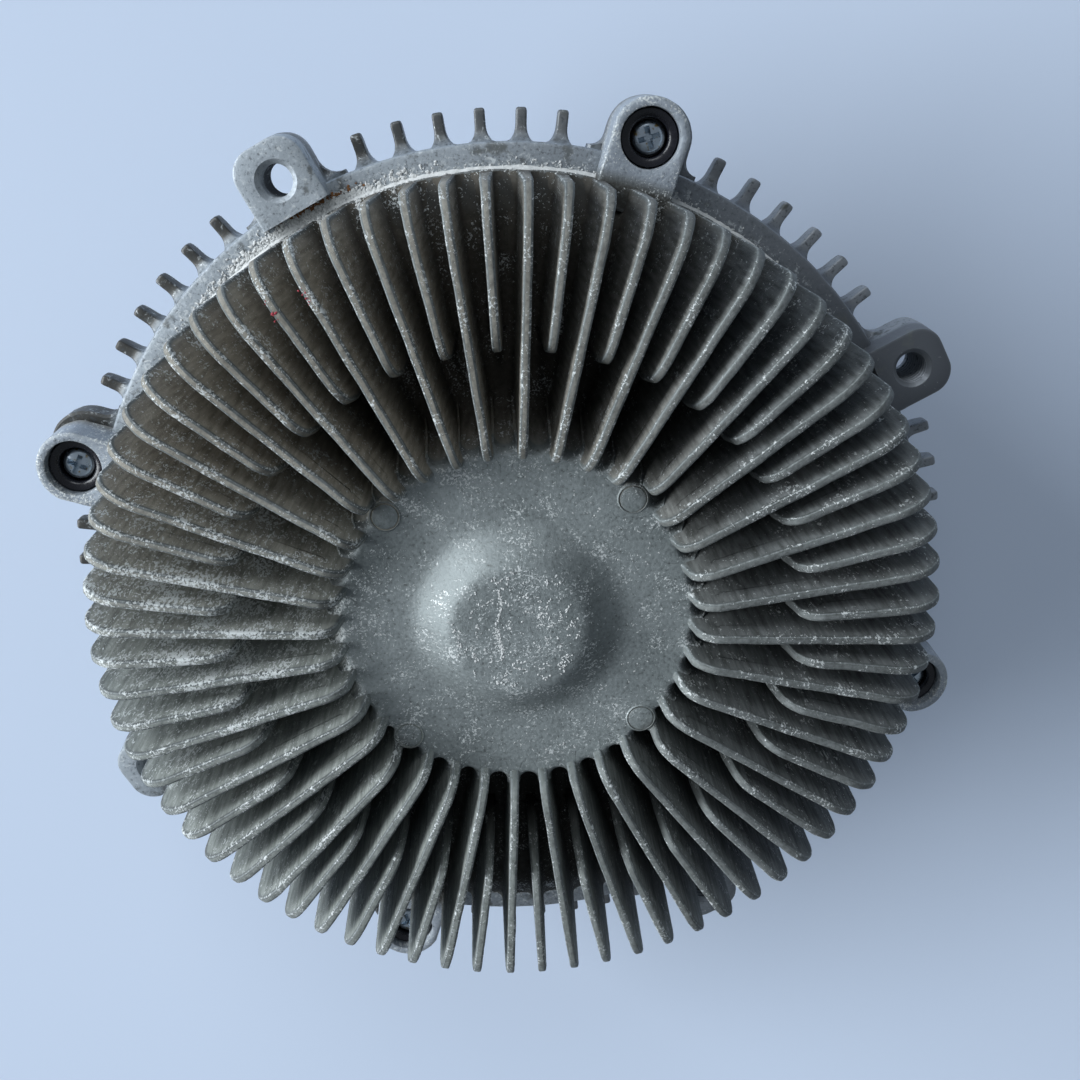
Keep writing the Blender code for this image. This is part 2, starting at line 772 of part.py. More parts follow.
def rotor_set():
    low = Z_BEARING_TOP + GAP
    top = low + ROTOR_HUB_H
    web = Z_CHAMBER + CHAMBER_LIP_H + ROTOR_FACE_GAP
    bore = ROTOR_SEAT_R + GAP
    made = piece("rotor", profile_mesh("rotor", [
        (bore, top),
        (ROTOR_HUB_R, top),
        (ROTOR_HUB_R, web + ROTOR_T),
        (ROTOR_R, web + ROTOR_T),
        (ROTOR_R, web),
        (ROTOR_HUB_R + 4.0, web),
        (ROTOR_HUB_R, low),
        (bore, low),
    ], True))
    turn(made, 24)
    finish(made, MACHINED, INPUT, low)

    made = piece("rotor_washer", profile_mesh("rotor_washer", [
        (WASHER_R, WASHER_T),
        (WASHER_R, 0),
        (STUB_R + GAP, 0),
        (STUB_R + GAP, WASHER_T),
    ], True))
    made.location.z = (top + GAP) * MM
    turn(made, 16)
    finish(made, ZINC, INPUT)

    corner = NUT_FLATS / math.sqrt(3)
    nut_low = top + GAP + WASHER_T + GAP
    outline = [(corner * math.cos(k * math.pi / 3), corner * math.sin(k * math.pi / 3)) for k in range(6)]
    nut = piece("rotor_nut", plate("rotor_nut", outline, nut_low, nut_low + NUT_H))
    bore_tool = tool("nut_bore", cylinder("nut_bore", STUB_R + GAP, nut_low - 1, nut_low + NUT_H + 1, 20))
    combine(nut, bore_tool, "DIFFERENCE")
    finish(nut, ZINC, INPUT, nut_low)


clear_scene()
PARTS = collection("viscous_fan_clutch")
TOOLS = collection("cutters")
CAST = material("cast_aluminium", (0.17, 0.17, 0.165), 0.75, 0.62)
MACHINED = material("machined_aluminium", (0.30, 0.32, 0.34), 0.85, 0.45)
STEEL = material("steel", (0.42, 0.42, 0.43), 1.0, 0.35)
ZINC = material("zinc_plate", (0.55, 0.56, 0.58), 1.0, 0.28)
RUBBER = material("black_rubber", (0.012, 0.012, 0.016), 0.0, 0.25)
BRASS = material("brass", (0.55, 0.40, 0.16), 1.0, 0.40)
INPUT = empty("input_frame")
HOUSING = empty("housing_axis", INPUT)
CAGE = empty("cage_axis", INPUT)

input_shaft()
bearing()
circlip()
rotor_set()
rear_body()
front_cover()
cover_fasteners()
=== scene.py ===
# %% [markdown]
# # A viscous fan clutch with a finned die-cast cover
#
# The clutch sits between an engine's water pump and its cooling fan. Silicone oil inside carries the
# turning force, and the fins shed the heat. The part has stood in dirt and salt for years, so its
# aluminium is grey, freckled and white at the edges.
#
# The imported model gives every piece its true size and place. This lesson makes the surface that the eye
# sees: round edges, cast skin, threads, cross recesses, dirt and wear.

import json
import math

import bmesh
import bpy
import numpy as np
from mathutils import Matrix, Vector, noise

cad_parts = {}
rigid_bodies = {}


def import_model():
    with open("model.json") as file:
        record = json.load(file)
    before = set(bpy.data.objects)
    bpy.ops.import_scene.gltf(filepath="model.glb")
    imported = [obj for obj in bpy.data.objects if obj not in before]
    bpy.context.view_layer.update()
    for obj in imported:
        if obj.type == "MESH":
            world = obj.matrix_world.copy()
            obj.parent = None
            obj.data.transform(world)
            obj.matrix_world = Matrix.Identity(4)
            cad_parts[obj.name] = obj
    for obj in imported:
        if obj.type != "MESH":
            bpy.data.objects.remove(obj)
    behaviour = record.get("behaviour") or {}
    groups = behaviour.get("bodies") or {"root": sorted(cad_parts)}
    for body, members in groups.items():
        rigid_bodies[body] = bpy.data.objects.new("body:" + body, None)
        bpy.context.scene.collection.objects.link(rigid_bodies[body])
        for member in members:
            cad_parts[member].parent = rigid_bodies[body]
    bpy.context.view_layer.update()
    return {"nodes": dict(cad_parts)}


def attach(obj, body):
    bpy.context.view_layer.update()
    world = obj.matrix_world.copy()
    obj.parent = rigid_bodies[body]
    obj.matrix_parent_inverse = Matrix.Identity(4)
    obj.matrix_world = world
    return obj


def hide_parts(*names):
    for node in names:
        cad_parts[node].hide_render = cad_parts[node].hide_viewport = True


# without a seed Blender's noise differs from run to run
noise.seed_set(11)

for item in list(bpy.data.objects):
    bpy.data.objects.remove(item, do_unlink=True)

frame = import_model()
MM = 0.001

# %% [markdown]
# ## The camera first
#
# The photograph looks down on the fins, a little from below the middle. A camera is a place and a
# turning: its own X axis runs to the right of the picture, Y up and Z back towards the eye. Written as
# three columns of a matrix they say exactly where the lens points, with no tracking needed.

# %% Camera
lens = bpy.data.cameras.new("camera")
lens.sensor_width = 36.0
lens.lens = 39.13
camera = bpy.data.objects.new("camera", lens)
bpy.context.scene.collection.objects.link(camera)
right = Vector((0.99725, -0.06094, 0.04219))
up = Vector((0.07184, 0.93479, -0.34787))
back = Vector((-0.01824, 0.34994, 0.93659))
turning = Matrix((right, up, back)).transposed().to_4x4()
camera.matrix_world = Matrix.Translation(Vector((1.429, 102.518, 310.421)) * MM) @ turning
bpy.context.scene.camera = camera
print("camera stands", round(camera.location.length, 3), "m from the flange")

# %% [markdown]
# ## Sizes
#
# All lengths are millimetres. The clutch's axis is Z and the fins look up. The heights and radii are
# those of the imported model, so that each fine piece lies where its plain solid lies.

# %% Heights and radii of the housing
Z_BOSS, Z_WEB, Z_CHAMBER, Z_SEAT = 21.0, 39.0, 43.5, 50.7
Z_PEG, Z_RIM, Z_RING, Z_EAR, Z_SCREW_EAR = 50.0, 51.0, 55.3, 59.2, 61.6
Z_EAR_BACK, Z_COVER_EAR, Z_BORE_FLOOR = 43.7, 52.0, 54.8
Z_FLOOR, Z_HUB, Z_DOME, Z_FIN = 61.5, 83.8, 89.3, 93.0
RIM_R, RING_R, PEG_R, SEAT_STEP_R, FIN_R = 89.9, 95.3, 101.9, 84.0, 89.7
HUB_R, SHORT_FIN_R = 36.4, 57.6
EAR_R, EAR_HALF, EAR_END = 100.0, 8.0, 8.2
FIN_HALF, FIN_DRAFT, FIN_NOSE_R, FIN_CORNER_R, FIN_FALL = 0.85, 0.016, 5.5, 10, 0.4
CUP_BORE_R, SHANK_BORE_R, THREAD_CREST_R, THREAD_ROOT_R, THREAD_PITCH = 6.1, 2.3, 3.35, 3.9, 1.25
PEG_ROOT_R, BEARING_BORE_R, STUD_CIRCLE_R, STUD_HOLE_R = 94.6, 26.3, 30.5, 4.3
GAP = 0.3
FIN_PHASE = math.radians(4.9)
STEP = math.radians(5)
THREADED_EARS = [math.radians(25.2 + 90 * k) for k in range(4)]
SCREW_EARS = [math.radians(70.2 + 90 * k) for k in range(4)]

# %% [markdown]
# ## Skins over rows of points
#
# Nearly every form here is a row of points that moves: a circle that changes its radius, a fin's outline
# that shrinks, a section that follows a rib. Quads between neighbouring rows make the skin. A number for
# each row, the wear, goes with it to the material, because edges that hands and dirt reach are paler
# than the hollows.

# %% Helpers for skins
def skin(rows, wear=None, loop=False, caps=False):
    """Points, faces and wear of quads between rows that each go round once."""
    rows = [np.asarray(row, float) for row in rows]
    count = len(rows[0])
    worn = np.repeat(np.zeros(len(rows)) if wear is None else np.asarray(wear, float), count)
    faces = []
    for i in range(len(rows) if loop else len(rows) - 1):
        low = i * count
        high = (i + 1) % len(rows) * count
        for j in range(count):
            k = (j + 1) % count
            faces.append((low + j, low + k, high + k, high + j))
    if caps:
        faces.append(tuple(range(count)))
        faces.append(tuple(range((len(rows) - 1) * count, len(rows) * count)))
    return np.concatenate(rows), faces, worn


def turned(part, angle, out=0.0):
    """The part moved outward along X, then turned round Z."""
    points, faces, worn = part
    moved = points + np.array((out, 0.0, 0.0))
    c, s = math.cos(angle), math.sin(angle)
    spun = np.stack([moved[:, 0] * c - moved[:, 1] * s, moved[:, 0] * s + moved[:, 1] * c, moved[:, 2]], 1)
    return spun, faces, worn


def polar(radius, angles, height):
    """A row of points at one height, each at its own angle. The radius is one number or one for each."""
    return np.column_stack([radius * np.cos(angles), radius * np.sin(angles), np.full(len(angles), height)])


def all_round(count):
    return np.arange(count) * 2 * math.pi / count


def lathe(profile, count, loop=False, wear=None):
    """Rings of a turned profile of (radius, height) pairs."""
    return skin([polar(max(r, 0.001), all_round(count), z) for r, z in profile], wear, loop)


def arc(x, y, radius, start, end, steps):
    angles = np.radians(np.linspace(start, end, steps + 1))
    return [(x + radius * math.cos(a), y + radius * math.sin(a)) for a in angles]


def roughen(part, depth, grain, seed):
    """Moves points up and down by smooth noise: depth and grain in millimetres."""
    points, faces, worn = part
    moved = points.copy()
    for i, p in enumerate(points):
        at = Vector(p) / grain + Vector((seed, 0, 0))
        moved[i] += np.array(noise.noise_vector(at)) * depth
    return moved, faces, worn


# %% Helper that makes one object of several skins
def make(name, parts, look, body, node=None, sharp=35):
    """One object riding on a body, shaded smooth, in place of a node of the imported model."""
    bm = bmesh.new()
    layer = bm.verts.layers.float.new("wear")
    for points, faces, worn in parts:
        verts = [bm.verts.new(Vector(p) * MM) for p in points]
        for vert, value in zip(verts, worn):
            vert[layer] = value
        for face in faces:
            bm.faces.new([verts[i] for i in face])
    bmesh.ops.remove_doubles(bm, verts=bm.verts[:], dist=1e-7)
    bmesh.ops.recalc_face_normals(bm, faces=bm.faces[:])
    mesh = bpy.data.meshes.new(name)
    bm.to_mesh(mesh)
    bm.free()
    mesh.shade_smooth()
    mesh.set_sharp_from_angle(angle=math.radians(sharp))
    mesh.materials.append(look)
    made = bpy.data.objects.new(name, mesh)
    bpy.context.scene.collection.objects.link(made)
    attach(made, body)
    if node:
        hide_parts(node)
    print(name, len(mesh.polygons), "faces")
    return made


def cut_away(thing, cutter):
    """Takes the cutter's shape out of the object, keeps the result as its mesh and drops the cutter."""
    cut = thing.modifiers.new("cut", "BOOLEAN")
    cut.object = cutter
    cut.solver = "EXACT"
    bpy.context.view_layer.update()
    shaped = bpy.data.meshes.new_from_object(thing.evaluated_get(bpy.context.evaluated_depsgraph_get()))
    thing.modifiers.clear()
    thing.data = shaped
    bpy.data.objects.remove(cutter, do_unlink=True)


# %% [markdown]
# ## Adding nodes
#
# A material is a small graph. One function adds a node, sets what it is told and links what it is given,
# so that a material reads as a list of steps. Colours are written as the hex values that a colour picker
# shows, and one function turns them to the linear values that the renderer adds up.

# %% Helpers for materials
COLOURS = {"data_type": "RGBA"}
SMOOTH = {"interpolation_type": "SMOOTHSTEP"}
TIMES = {"operation": "MULTIPLY"}
TIMES_PLUS = {"operation": "MULTIPLY_ADD"}


def colour(text):
    values = [int(text[i:i + 2], 16) / 255 for i in (1, 3, 5)]
    return (*[v / 12.92 if v <= 0.04045 else ((v + 0.055) / 1.055) ** 2.4 for v in values], 1.0)


def add(tree, kind, settings=(), inputs=()):
    made = tree.nodes.new(kind)
    for name, value in dict(settings).items():
        setattr(made, name, value)
    for name, value in dict(inputs).items():
        if isinstance(value, bpy.types.NodeSocket):
            tree.links.new(value, made.inputs[name])
        else:
            made.inputs[name].default_value = value
    return made


def from_axis(tree, place):
    """Distance from the clutch's axis, in metres."""
    flat = add(tree, "ShaderNodeVectorMath", TIMES, {0: place, 1: (1, 1, 0)}).outputs[0]
    return add(tree, "ShaderNodeVectorMath", {"operation": "LENGTH"}, {0: flat}).outputs["Value"]


def start_material(name):
    look = bpy.data.materials.new(name)
    look.use_nodes = True
    tree = look.node_tree
    tree.nodes.clear()
    shader = add(tree, "ShaderNodeBsdfPrincipled")
    add(tree, "ShaderNodeOutputMaterial", (), {"Surface": shader.outputs["BSDF"]})
    place = add(tree, "ShaderNodeTexCoord").outputs["Object"]
    return look, tree, shader, place


def dress(tree, shader, base, rough, bump=None):
    """Links the colour, the roughness and the bump."""
    tree.links.new(base, shader.inputs["Base Color"])
    tree.links.new(rough, shader.inputs["Roughness"])
    if bump:
        tree.links.new(bump.outputs[0], shader.inputs["Normal"])


# %% [markdown]
# ## Weathered die-cast aluminium
#
# The cover is an aluminium alloy shot into a steel die. Its skin is dense and smooth at first, then the
# oxide turns it dull grey-brown, and white salts grow out of the pores as flecks of a few tenths of a
# millimetre. Crests of the fins, which are touched and rubbed, are paler than their flanks. A dull oxide
# reflects like a rough metal that has lost most of its shine, so metallic is 0.4, and roughness is about
# 0.55 on the hub and the ears and 0.8 on the fins. A metal keeps its default IOR.

# %% Die-cast aluminium of the cover
def cast_cover():
    look, tree, shader, place = start_material("die_cast_aluminium_weathered")
    wear = add(tree, "ShaderNodeAttribute", {"attribute_name": "wear"}).outputs["Fac"]
    axes = add(tree, "ShaderNodeSeparateXYZ", (), {0: place})
    radius = from_axis(tree, place)

    # patches of oxide about 20 mm across, and the grain of the cast skin, about 0.8 mm so that it shows
    patch = add(tree, "ShaderNodeTexNoise", (), {"Vector": place, "Scale": 50.0, "Detail": 4.0}).outputs[0]
    grain = add(tree, "ShaderNodeTexNoise", (), {
        "Vector": place, "Scale": 1250.0, "Detail": 4.0, "Roughness": 0.7}).outputs[0]

    # dirty water ran down the flanks: streaks 1 mm wide, ten times as tall
    squeezed = add(tree, "ShaderNodeVectorMath", TIMES, {0: place, 1: (1, 1, 0.1)}).outputs[0]
    streak = add(tree, "ShaderNodeTexNoise", (), {
        "Vector": squeezed, "Scale": 900.0, "Detail": 3.0, "Roughness": 0.6}).outputs[0]
    streak = add(tree, "ShaderNodeMapRange", (), {"Value": streak, "From Min": 0.32, "From Max": 0.68}).outputs[0]

    # the side that salt water reached, towards -X, and the splash where it dried
    salty = add(tree, "ShaderNodeMapRange", (), {
        "Value": axes.outputs["X"], "From Min": 0.02, "From Max": -0.085}).outputs[0]
    from_splash = add(tree, "ShaderNodeVectorMath", {"operation": "DISTANCE"}, {
        0: place, 1: (-0.062, 0.006, 0.080)}).outputs["Value"]
    splash = add(tree, "ShaderNodeMapRange", SMOOTH, {
        "Value": from_splash, "From Min": 0.036, "From Max": 0.008}).outputs[0]

    # white salts, flecks of about 0.4 mm that gather in clouds of 6 mm and lie taller than wide on a flank
    slim = add(tree, "ShaderNodeVectorMath", TIMES, {0: place, 1: (1, 1, 0.4)}).outputs[0]
    fleck = add(tree, "ShaderNodeTexNoise", (), {
        "Vector": slim, "Scale": 1900.0, "Detail": 3.0, "Roughness": 0.65, "Distortion": 0.6}).outputs[0]
    cloud = add(tree, "ShaderNodeTexNoise", (), {"Vector": place, "Scale": 170.0, "Detail": 3.0}).outputs[0]
    total = add(tree, "ShaderNodeMath", TIMES_PLUS, {0: cloud, 1: 0.5, 2: fleck}).outputs[0]
    for part, share in ((salty, 0.04), (splash, 0.10), (wear, 0.07)):
        total = add(tree, "ShaderNodeMath", TIMES_PLUS, {0: part, 1: share, 2: total}).outputs[0]
    salts = add(tree, "ShaderNodeMapRange", SMOOTH, {
        "Value": total, "From Min": 0.885, "From Max": 0.945}).outputs[0]

    # a flank is browner than a crest; painted shade makes the hollows darker towards the disc and the right side
    # darker, away from the light
    flank, inside, on_fins, shade_on_right, upper = [
        add(tree, "ShaderNodeMapRange", (), {"Value": value, "From Min": start, "From Max": end}).outputs[0]
        for value, start, end in (
            (wear, 0.28, 0.02), (radius, 0.0925, 0.0895), (radius, 0.0365, 0.0385),
            (axes.outputs["X"], -0.01, 0.05), (axes.outputs["Y"], -0.005, 0.04))]
    # painted shade: darker towards the disc between the fins, deeper than 13 mm below the crests
    low = add(tree, "ShaderNodeMapRange", (), {
        "Value": axes.outputs["Z"], "From Min": 0.080, "From Max": 0.060, "To Max": 0.85}).outputs[0]
    low = add(tree, "ShaderNodeMath", TIMES, {0: low, 1: inside}).outputs[0]
    on_fins = add(tree, "ShaderNodeMath", TIMES, {0: on_fins, 1: inside}).outputs[0]

    mottle = add(tree, "ShaderNodeMath", {"operation": "ADD"}, {0: patch, 1: grain}).outputs[0]
    mottle = add(tree, "ShaderNodeMapRange", (), {"Value": mottle, "From Min": 0.70, "From Max": 1.30}).outputs[0]
    hub, crest, ear_tone, brown, grey, dark = [
        add(tree, "ShaderNodeMix", COLOURS, {0: mask, 6: colour(deep), 7: colour(bright)}).outputs[2]
        for mask, deep, bright in (
            (mottle, "#656c6c", "#959c9c"), (mottle, "#4b4f4e", "#797e7d"), (mottle, "#757d85", "#a6aeb7"),
            (streak, "#787266", "#a59f92"), (streak, "#727773", "#a3a8a3"), (streak, "#505352", "#7e8282"))]
    top = add(tree, "ShaderNodeMix", COLOURS, {0: on_fins, 6: hub, 7: crest}).outputs[2]
    top = add(tree, "ShaderNodeMix", COLOURS, {0: inside, 6: ear_tone, 7: top}).outputs[2]
    side = add(tree, "ShaderNodeMix", COLOURS, {0: upper, 6: grey, 7: brown}).outputs[2]
    # painted shade: the flanks on the right side turn to the darker tone, away from the light from the left
    side = add(tree, "ShaderNodeMix", COLOURS, {0: shade_on_right, 6: side, 7: dark}).outputs[2]
    final = add(tree, "ShaderNodeMix", COLOURS, {0: flank, 6: top, 7: side}).outputs[2]

    # over these tones lie dark pits, painted shade in the hollows, rubbed metal on the crests and the salts
    pits = add(tree, "ShaderNodeMapRange", (), {
        "Value": grain, "From Min": 0.40, "From Max": 0.28, "To Max": 0.7}).outputs[0]
    rubbed = add(tree, "ShaderNodeMath", TIMES, {0: wear, 1: grain}).outputs[0]
    rubbed = add(tree, "ShaderNodeMapRange", (), {
        "Value": rubbed, "From Min": 0.28, "From Max": 0.75}).outputs[0]
    for mask, tone in ((pits, "#45443f"), (low, "#3c3933"), (rubbed, "#969c9d"), (salts, "#c9cdcc")):
        final = add(tree, "ShaderNodeMix", COLOURS, {0: mask, 6: final, 7: colour(tone)}).outputs[2]
    rough = add(tree, "ShaderNodeMapRange", (), {
        "Value": grain, "From Min": 0.3, "From Max": 0.7, "To Min": 0.44, "To Max": 0.68}).outputs[0]
    rough = add(tree, "ShaderNodeMath", TIMES_PLUS, {0: on_fins, 1: 0.22, 2: rough}).outputs[0]
    height = add(tree, "ShaderNodeMath", TIMES_PLUS, {0: salts, 1: 0.6, 2: grain}).outputs[0]
    bump = add(tree, "ShaderNodeBump", (), {"Strength": 0.45, "Distance": 0.0004, "Height": height})
    dress(tree, shader, final, rough, bump)
    shader.inputs["Metallic"].default_value = 0.4
    return look


COVER_CAST = cast_cover()
print("made", COVER_CAST.name)

# %% [markdown]
# ## Cast and machined aluminium of the rear body
#
# The ring and the ears were cast, then faced on a lathe. A cut face keeps a lighter, bluer metal and
# takes a fine freckle instead of brown oxide. The faced metal is darker on the right, a painted shade away from the
# light from the left, and the left side holds more specks and salts.

# %% Aluminium of the rear body
def cast_body():
    look, tree, shader, place = start_material("cast_aluminium_faced")
    wear = add(tree, "ShaderNodeAttribute", {"attribute_name": "wear"}).outputs["Fac"]
    axes = add(tree, "ShaderNodeSeparateXYZ", (), {0: place})
    patch = add(tree, "ShaderNodeTexNoise", (), {"Vector": place, "Scale": 70.0, "Detail": 5.0}).outputs[0]
    grain = add(tree, "ShaderNodeTexNoise", (), {
        "Vector": place, "Scale": 1100.0, "Detail": 3.0, "Roughness": 0.7}).outputs[0]
    stain = add(tree, "ShaderNodeTexNoise", (), {"Vector": place, "Scale": 260.0, "Detail": 4.0}).outputs[0]
    stain = add(tree, "ShaderNodeMapRange", SMOOTH, {
        "Value": stain, "From Min": 0.58, "From Max": 0.70}).outputs[0]

    # the left side, lighter than the painted shade on the right and richer in salts, the places outside and below
    # the faced ring, and the ring itself towards its joint
    radius = from_axis(tree, place)
    lit_salty_side, outside, below, faced, seam = [
        add(tree, "ShaderNodeMapRange", (), {"Value": value, "From Min": start, "From Max": end}).outputs[0]
        for value, start, end in (
            (axes.outputs["X"], 0.085, -0.03), (radius, 0.0950, 0.0975), (axes.outputs["Z"], 0.0545, 0.0530),
            (axes.outputs["Z"], 0.050, 0.053), (radius, 0.0945, 0.0902))]
    tone = add(tree, "ShaderNodeMix", COLOURS, {
        0: patch, 6: colour("#7c848a"), 7: colour("#a3abb1")}).outputs[2]
    # painted shade: the faced metal turns darker towards the right, away from the light
    right_shaded_tone = add(tree, "ShaderNodeMix", COLOURS, {
        0: lit_salty_side, 6: colour("#44474d"), 7: tone}).outputs[2]

    # the pegs and all that lies below them were never faced: they keep brown dirt
    unfaced = add(tree, "ShaderNodeMath", TIMES, {0: outside, 1: below}).outputs[0]
    peg = add(tree, "ShaderNodeMix", COLOURS, {
        0: lit_salty_side, 6: colour("#868b90"), 7: colour("#3b3a36")}).outputs[2]
    final = add(tree, "ShaderNodeMix", COLOURS, {0: unfaced, 6: right_shaded_tone, 7: peg}).outputs[2]
    pits = add(tree, "ShaderNodeMapRange", (), {
        "Value": grain, "From Min": 0.46, "From Max": 0.33, "To Max": 0.85}).outputs[0]
    speck = add(tree, "ShaderNodeMapRange", SMOOTH, {
        "Value": grain, "From Min": 0.57, "From Max": 0.70}).outputs[0]
    speck = add(tree, "ShaderNodeMath", TIMES, {0: speck, 1: lit_salty_side}).outputs[0]

    # salts creep out of the joint over the ring, most on the left side
    seam = add(tree, "ShaderNodeMath", TIMES, {0: seam, 1: faced}).outputs[0]
    creep = add(tree, "ShaderNodeTexNoise", (), {
        "Vector": place, "Scale": 650.0, "Detail": 5.0, "Roughness": 0.7, "Distortion": 0.8}).outputs[0]
    for part, share in ((seam, 0.12), (lit_salty_side, 0.08)):
        creep = add(tree, "ShaderNodeMath", TIMES_PLUS, {0: part, 1: share, 2: creep}).outputs[0]
    creep = add(tree, "ShaderNodeMapRange", SMOOTH, {
        "Value": creep, "From Min": 0.63, "From Max": 0.80}).outputs[0]
    worn = add(tree, "ShaderNodeMath", TIMES_PLUS, {0: wear, 1: 0.35, 2: speck}).outputs[0]
    kept = add(tree, "ShaderNodeMapRange", (), {"Value": unfaced, "To Min": 0.6, "To Max": 0.15}).outputs[0]
    worn = add(tree, "ShaderNodeMath", {"operation": "MULTIPLY", "use_clamp": True}, {0: worn, 1: kept}).outputs[0]
    for mask, tone in ((stain, "#4f5250"), (pits, "#43484c"), (creep, "#c3c8c9"), (worn, "#b9c0c6")):
        final = add(tree, "ShaderNodeMix", COLOURS, {0: mask, 6: final, 7: colour(tone)}).outputs[2]
    rough = add(tree, "ShaderNodeMapRange", (), {
        "Value": patch, "From Min": 0.3, "From Max": 0.7, "To Min": 0.38, "To Max": 0.6}).outputs[0]
    bump = add(tree, "ShaderNodeBump", (), {"Strength": 0.25, "Distance": 0.0003, "Height": grain})
    dress(tree, shader, final, rough, bump)
    shader.inputs["Metallic"].default_value = 0.4
    return look


BODY_CAST = cast_body()
print("made", BODY_CAST.name)

# %% [markdown]
# ## Steel, zinc, brass, rubber and salts
#
# The shaft and the bearing are steel, turned and ground. Turning leaves rings: a wave texture in rings
# round the axis, about 0.5 mm apart so that they show. The screws are zinc plated, bluish and bright with
# a yellow stain. The cups are a moulded black rubber with a smooth skin. The crust at the joint is
# aluminium hydroxide, a white crumbly powder.

# %% Turned steel
def turned_steel():
    look, tree, shader, place = start_material("turned_steel")
    rings = add(tree, "ShaderNodeTexWave", {"wave_type": "RINGS", "rings_direction": "Z"}, {
        "Vector": place, "Scale": 600.0, "Distortion": 1.5, "Detail": 2.0}).outputs["Fac"]
    patch = add(tree, "ShaderNodeTexNoise", (), {"Vector": place, "Scale": 120.0, "Detail": 5.0}).outputs[0]
    rust = add(tree, "ShaderNodeMapRange", SMOOTH, {
        "Value": patch, "From Min": 0.57, "From Max": 0.70}).outputs[0]
    tone = add(tree, "ShaderNodeMix", COLOURS, {
        0: patch, 6: colour("#8b8d90"), 7: colour("#b3b5b8")}).outputs[2]
    final = add(tree, "ShaderNodeMix", COLOURS, {
        0: rust, 6: tone, 7: colour("#6a5040")}).outputs[2]
    rough = add(tree, "ShaderNodeMapRange", (), {
        "Value": rust, "To Min": 0.32, "To Max": 0.75}).outputs[0]
    bump = add(tree, "ShaderNodeBump", (), {"Strength": 0.15, "Distance": 0.0002, "Height": rings})
    dress(tree, shader, final, rough, bump)
    shader.inputs["Metallic"].default_value = 1.0
    return look


STEEL = turned_steel()


# %% Zinc-plated steel
def zinc_plate():
    look, tree, shader, place = start_material("zinc_plated_steel")
    patch = add(tree, "ShaderNodeTexNoise", (), {"Vector": place, "Scale": 700.0, "Detail": 4.0}).outputs[0]
    stain = add(tree, "ShaderNodeMapRange", SMOOTH, {
        "Value": patch, "From Min": 0.60, "From Max": 0.72}).outputs[0]
    final = add(tree, "ShaderNodeMix", COLOURS, {
        0: stain, 6: colour("#b9c4cd"), 7: colour("#8c7a52")}).outputs[2]
    rough = add(tree, "ShaderNodeMapRange", (), {"Value": patch, "To Min": 0.18, "To Max": 0.42}).outputs[0]
    dress(tree, shader, final, rough)
    shader.inputs["Metallic"].default_value = 1.0
    return look


ZINC = zinc_plate()


# %% Brass, black rubber and white salts
def plain_with_grain(name, dark, light, metallic, low, high, grain_mm):
    look, tree, shader, place = start_material(name)
    grain = add(tree, "ShaderNodeTexNoise", (), {
        "Vector": place, "Scale": 1 / (grain_mm * MM), "Detail": 4.0, "Roughness": 0.6}).outputs[0]
    final = add(tree, "ShaderNodeMix", COLOURS, {
        0: grain, 6: colour(dark), 7: colour(light)}).outputs[2]
    rough = add(tree, "ShaderNodeMapRange", (), {"Value": grain, "To Min": low, "To Max": high}).outputs[0]
    bump = add(tree, "ShaderNodeBump", (), {"Strength": 0.3, "Distance": grain_mm * MM / 6, "Height": grain})
    dress(tree, shader, final, rough, bump)
    shader.inputs["Metallic"].default_value = metallic
    return look


BRASS = plain_with_grain("stamped_brass", "#8f7337", "#b99a55", 1.0, 0.3, 0.5, 1.5)
RUBBER = plain_with_grain("moulded_black_rubber", "#0d0d12", "#1b1b22", 0.0, 0.18, 0.36, 0.9)
SALTS = plain_with_grain("white_aluminium_salts", "#999b99", "#e6e8e7", 0.0, 0.8, 1.0, 0.7)
RUST = plain_with_grain("brown_rust", "#5a3d26", "#96683f", 0.0, 0.8, 1.0, 0.7)
RED_PAINT = plain_with_grain("red_enamel_chips", "#7c1f2a", "#b23a48", 0.0, 0.4, 0.6, 0.7)
print("materials:", len(bpy.data.materials))

# %% [markdown]
# ## The fins
#
# A fin is a thin cast wall. Its sides lean 0.9 degrees so that it leaves the die, its inner end is a
# round nose and its outer corner is round too. One way is a box with a bevel, but the bevel can't follow
# the drafted side. Here the outline shrinks inward in steps while the sides keep their lean, and the
# last steps turn the edge round. The steps also carry the wear, from 1 on the crest to 0 on the flank.

# %% One fin
def shrink(outline, by):
    """The closed outline moved inward by a distance, mitred at its corners."""
    points = np.asarray(outline, float)
    along = np.roll(points, -1, 0) - points
    along /= np.linalg.norm(along, axis=1)[:, None]
    inward = np.stack([along[:, 1], -along[:, 0]], 1)
    both = inward + np.roll(inward, 1, 0)
    both /= np.linalg.norm(both, axis=1)[:, None]
    reach = by / np.maximum((both * inward).sum(1), 0.5)
    return points + both * reach[:, None]


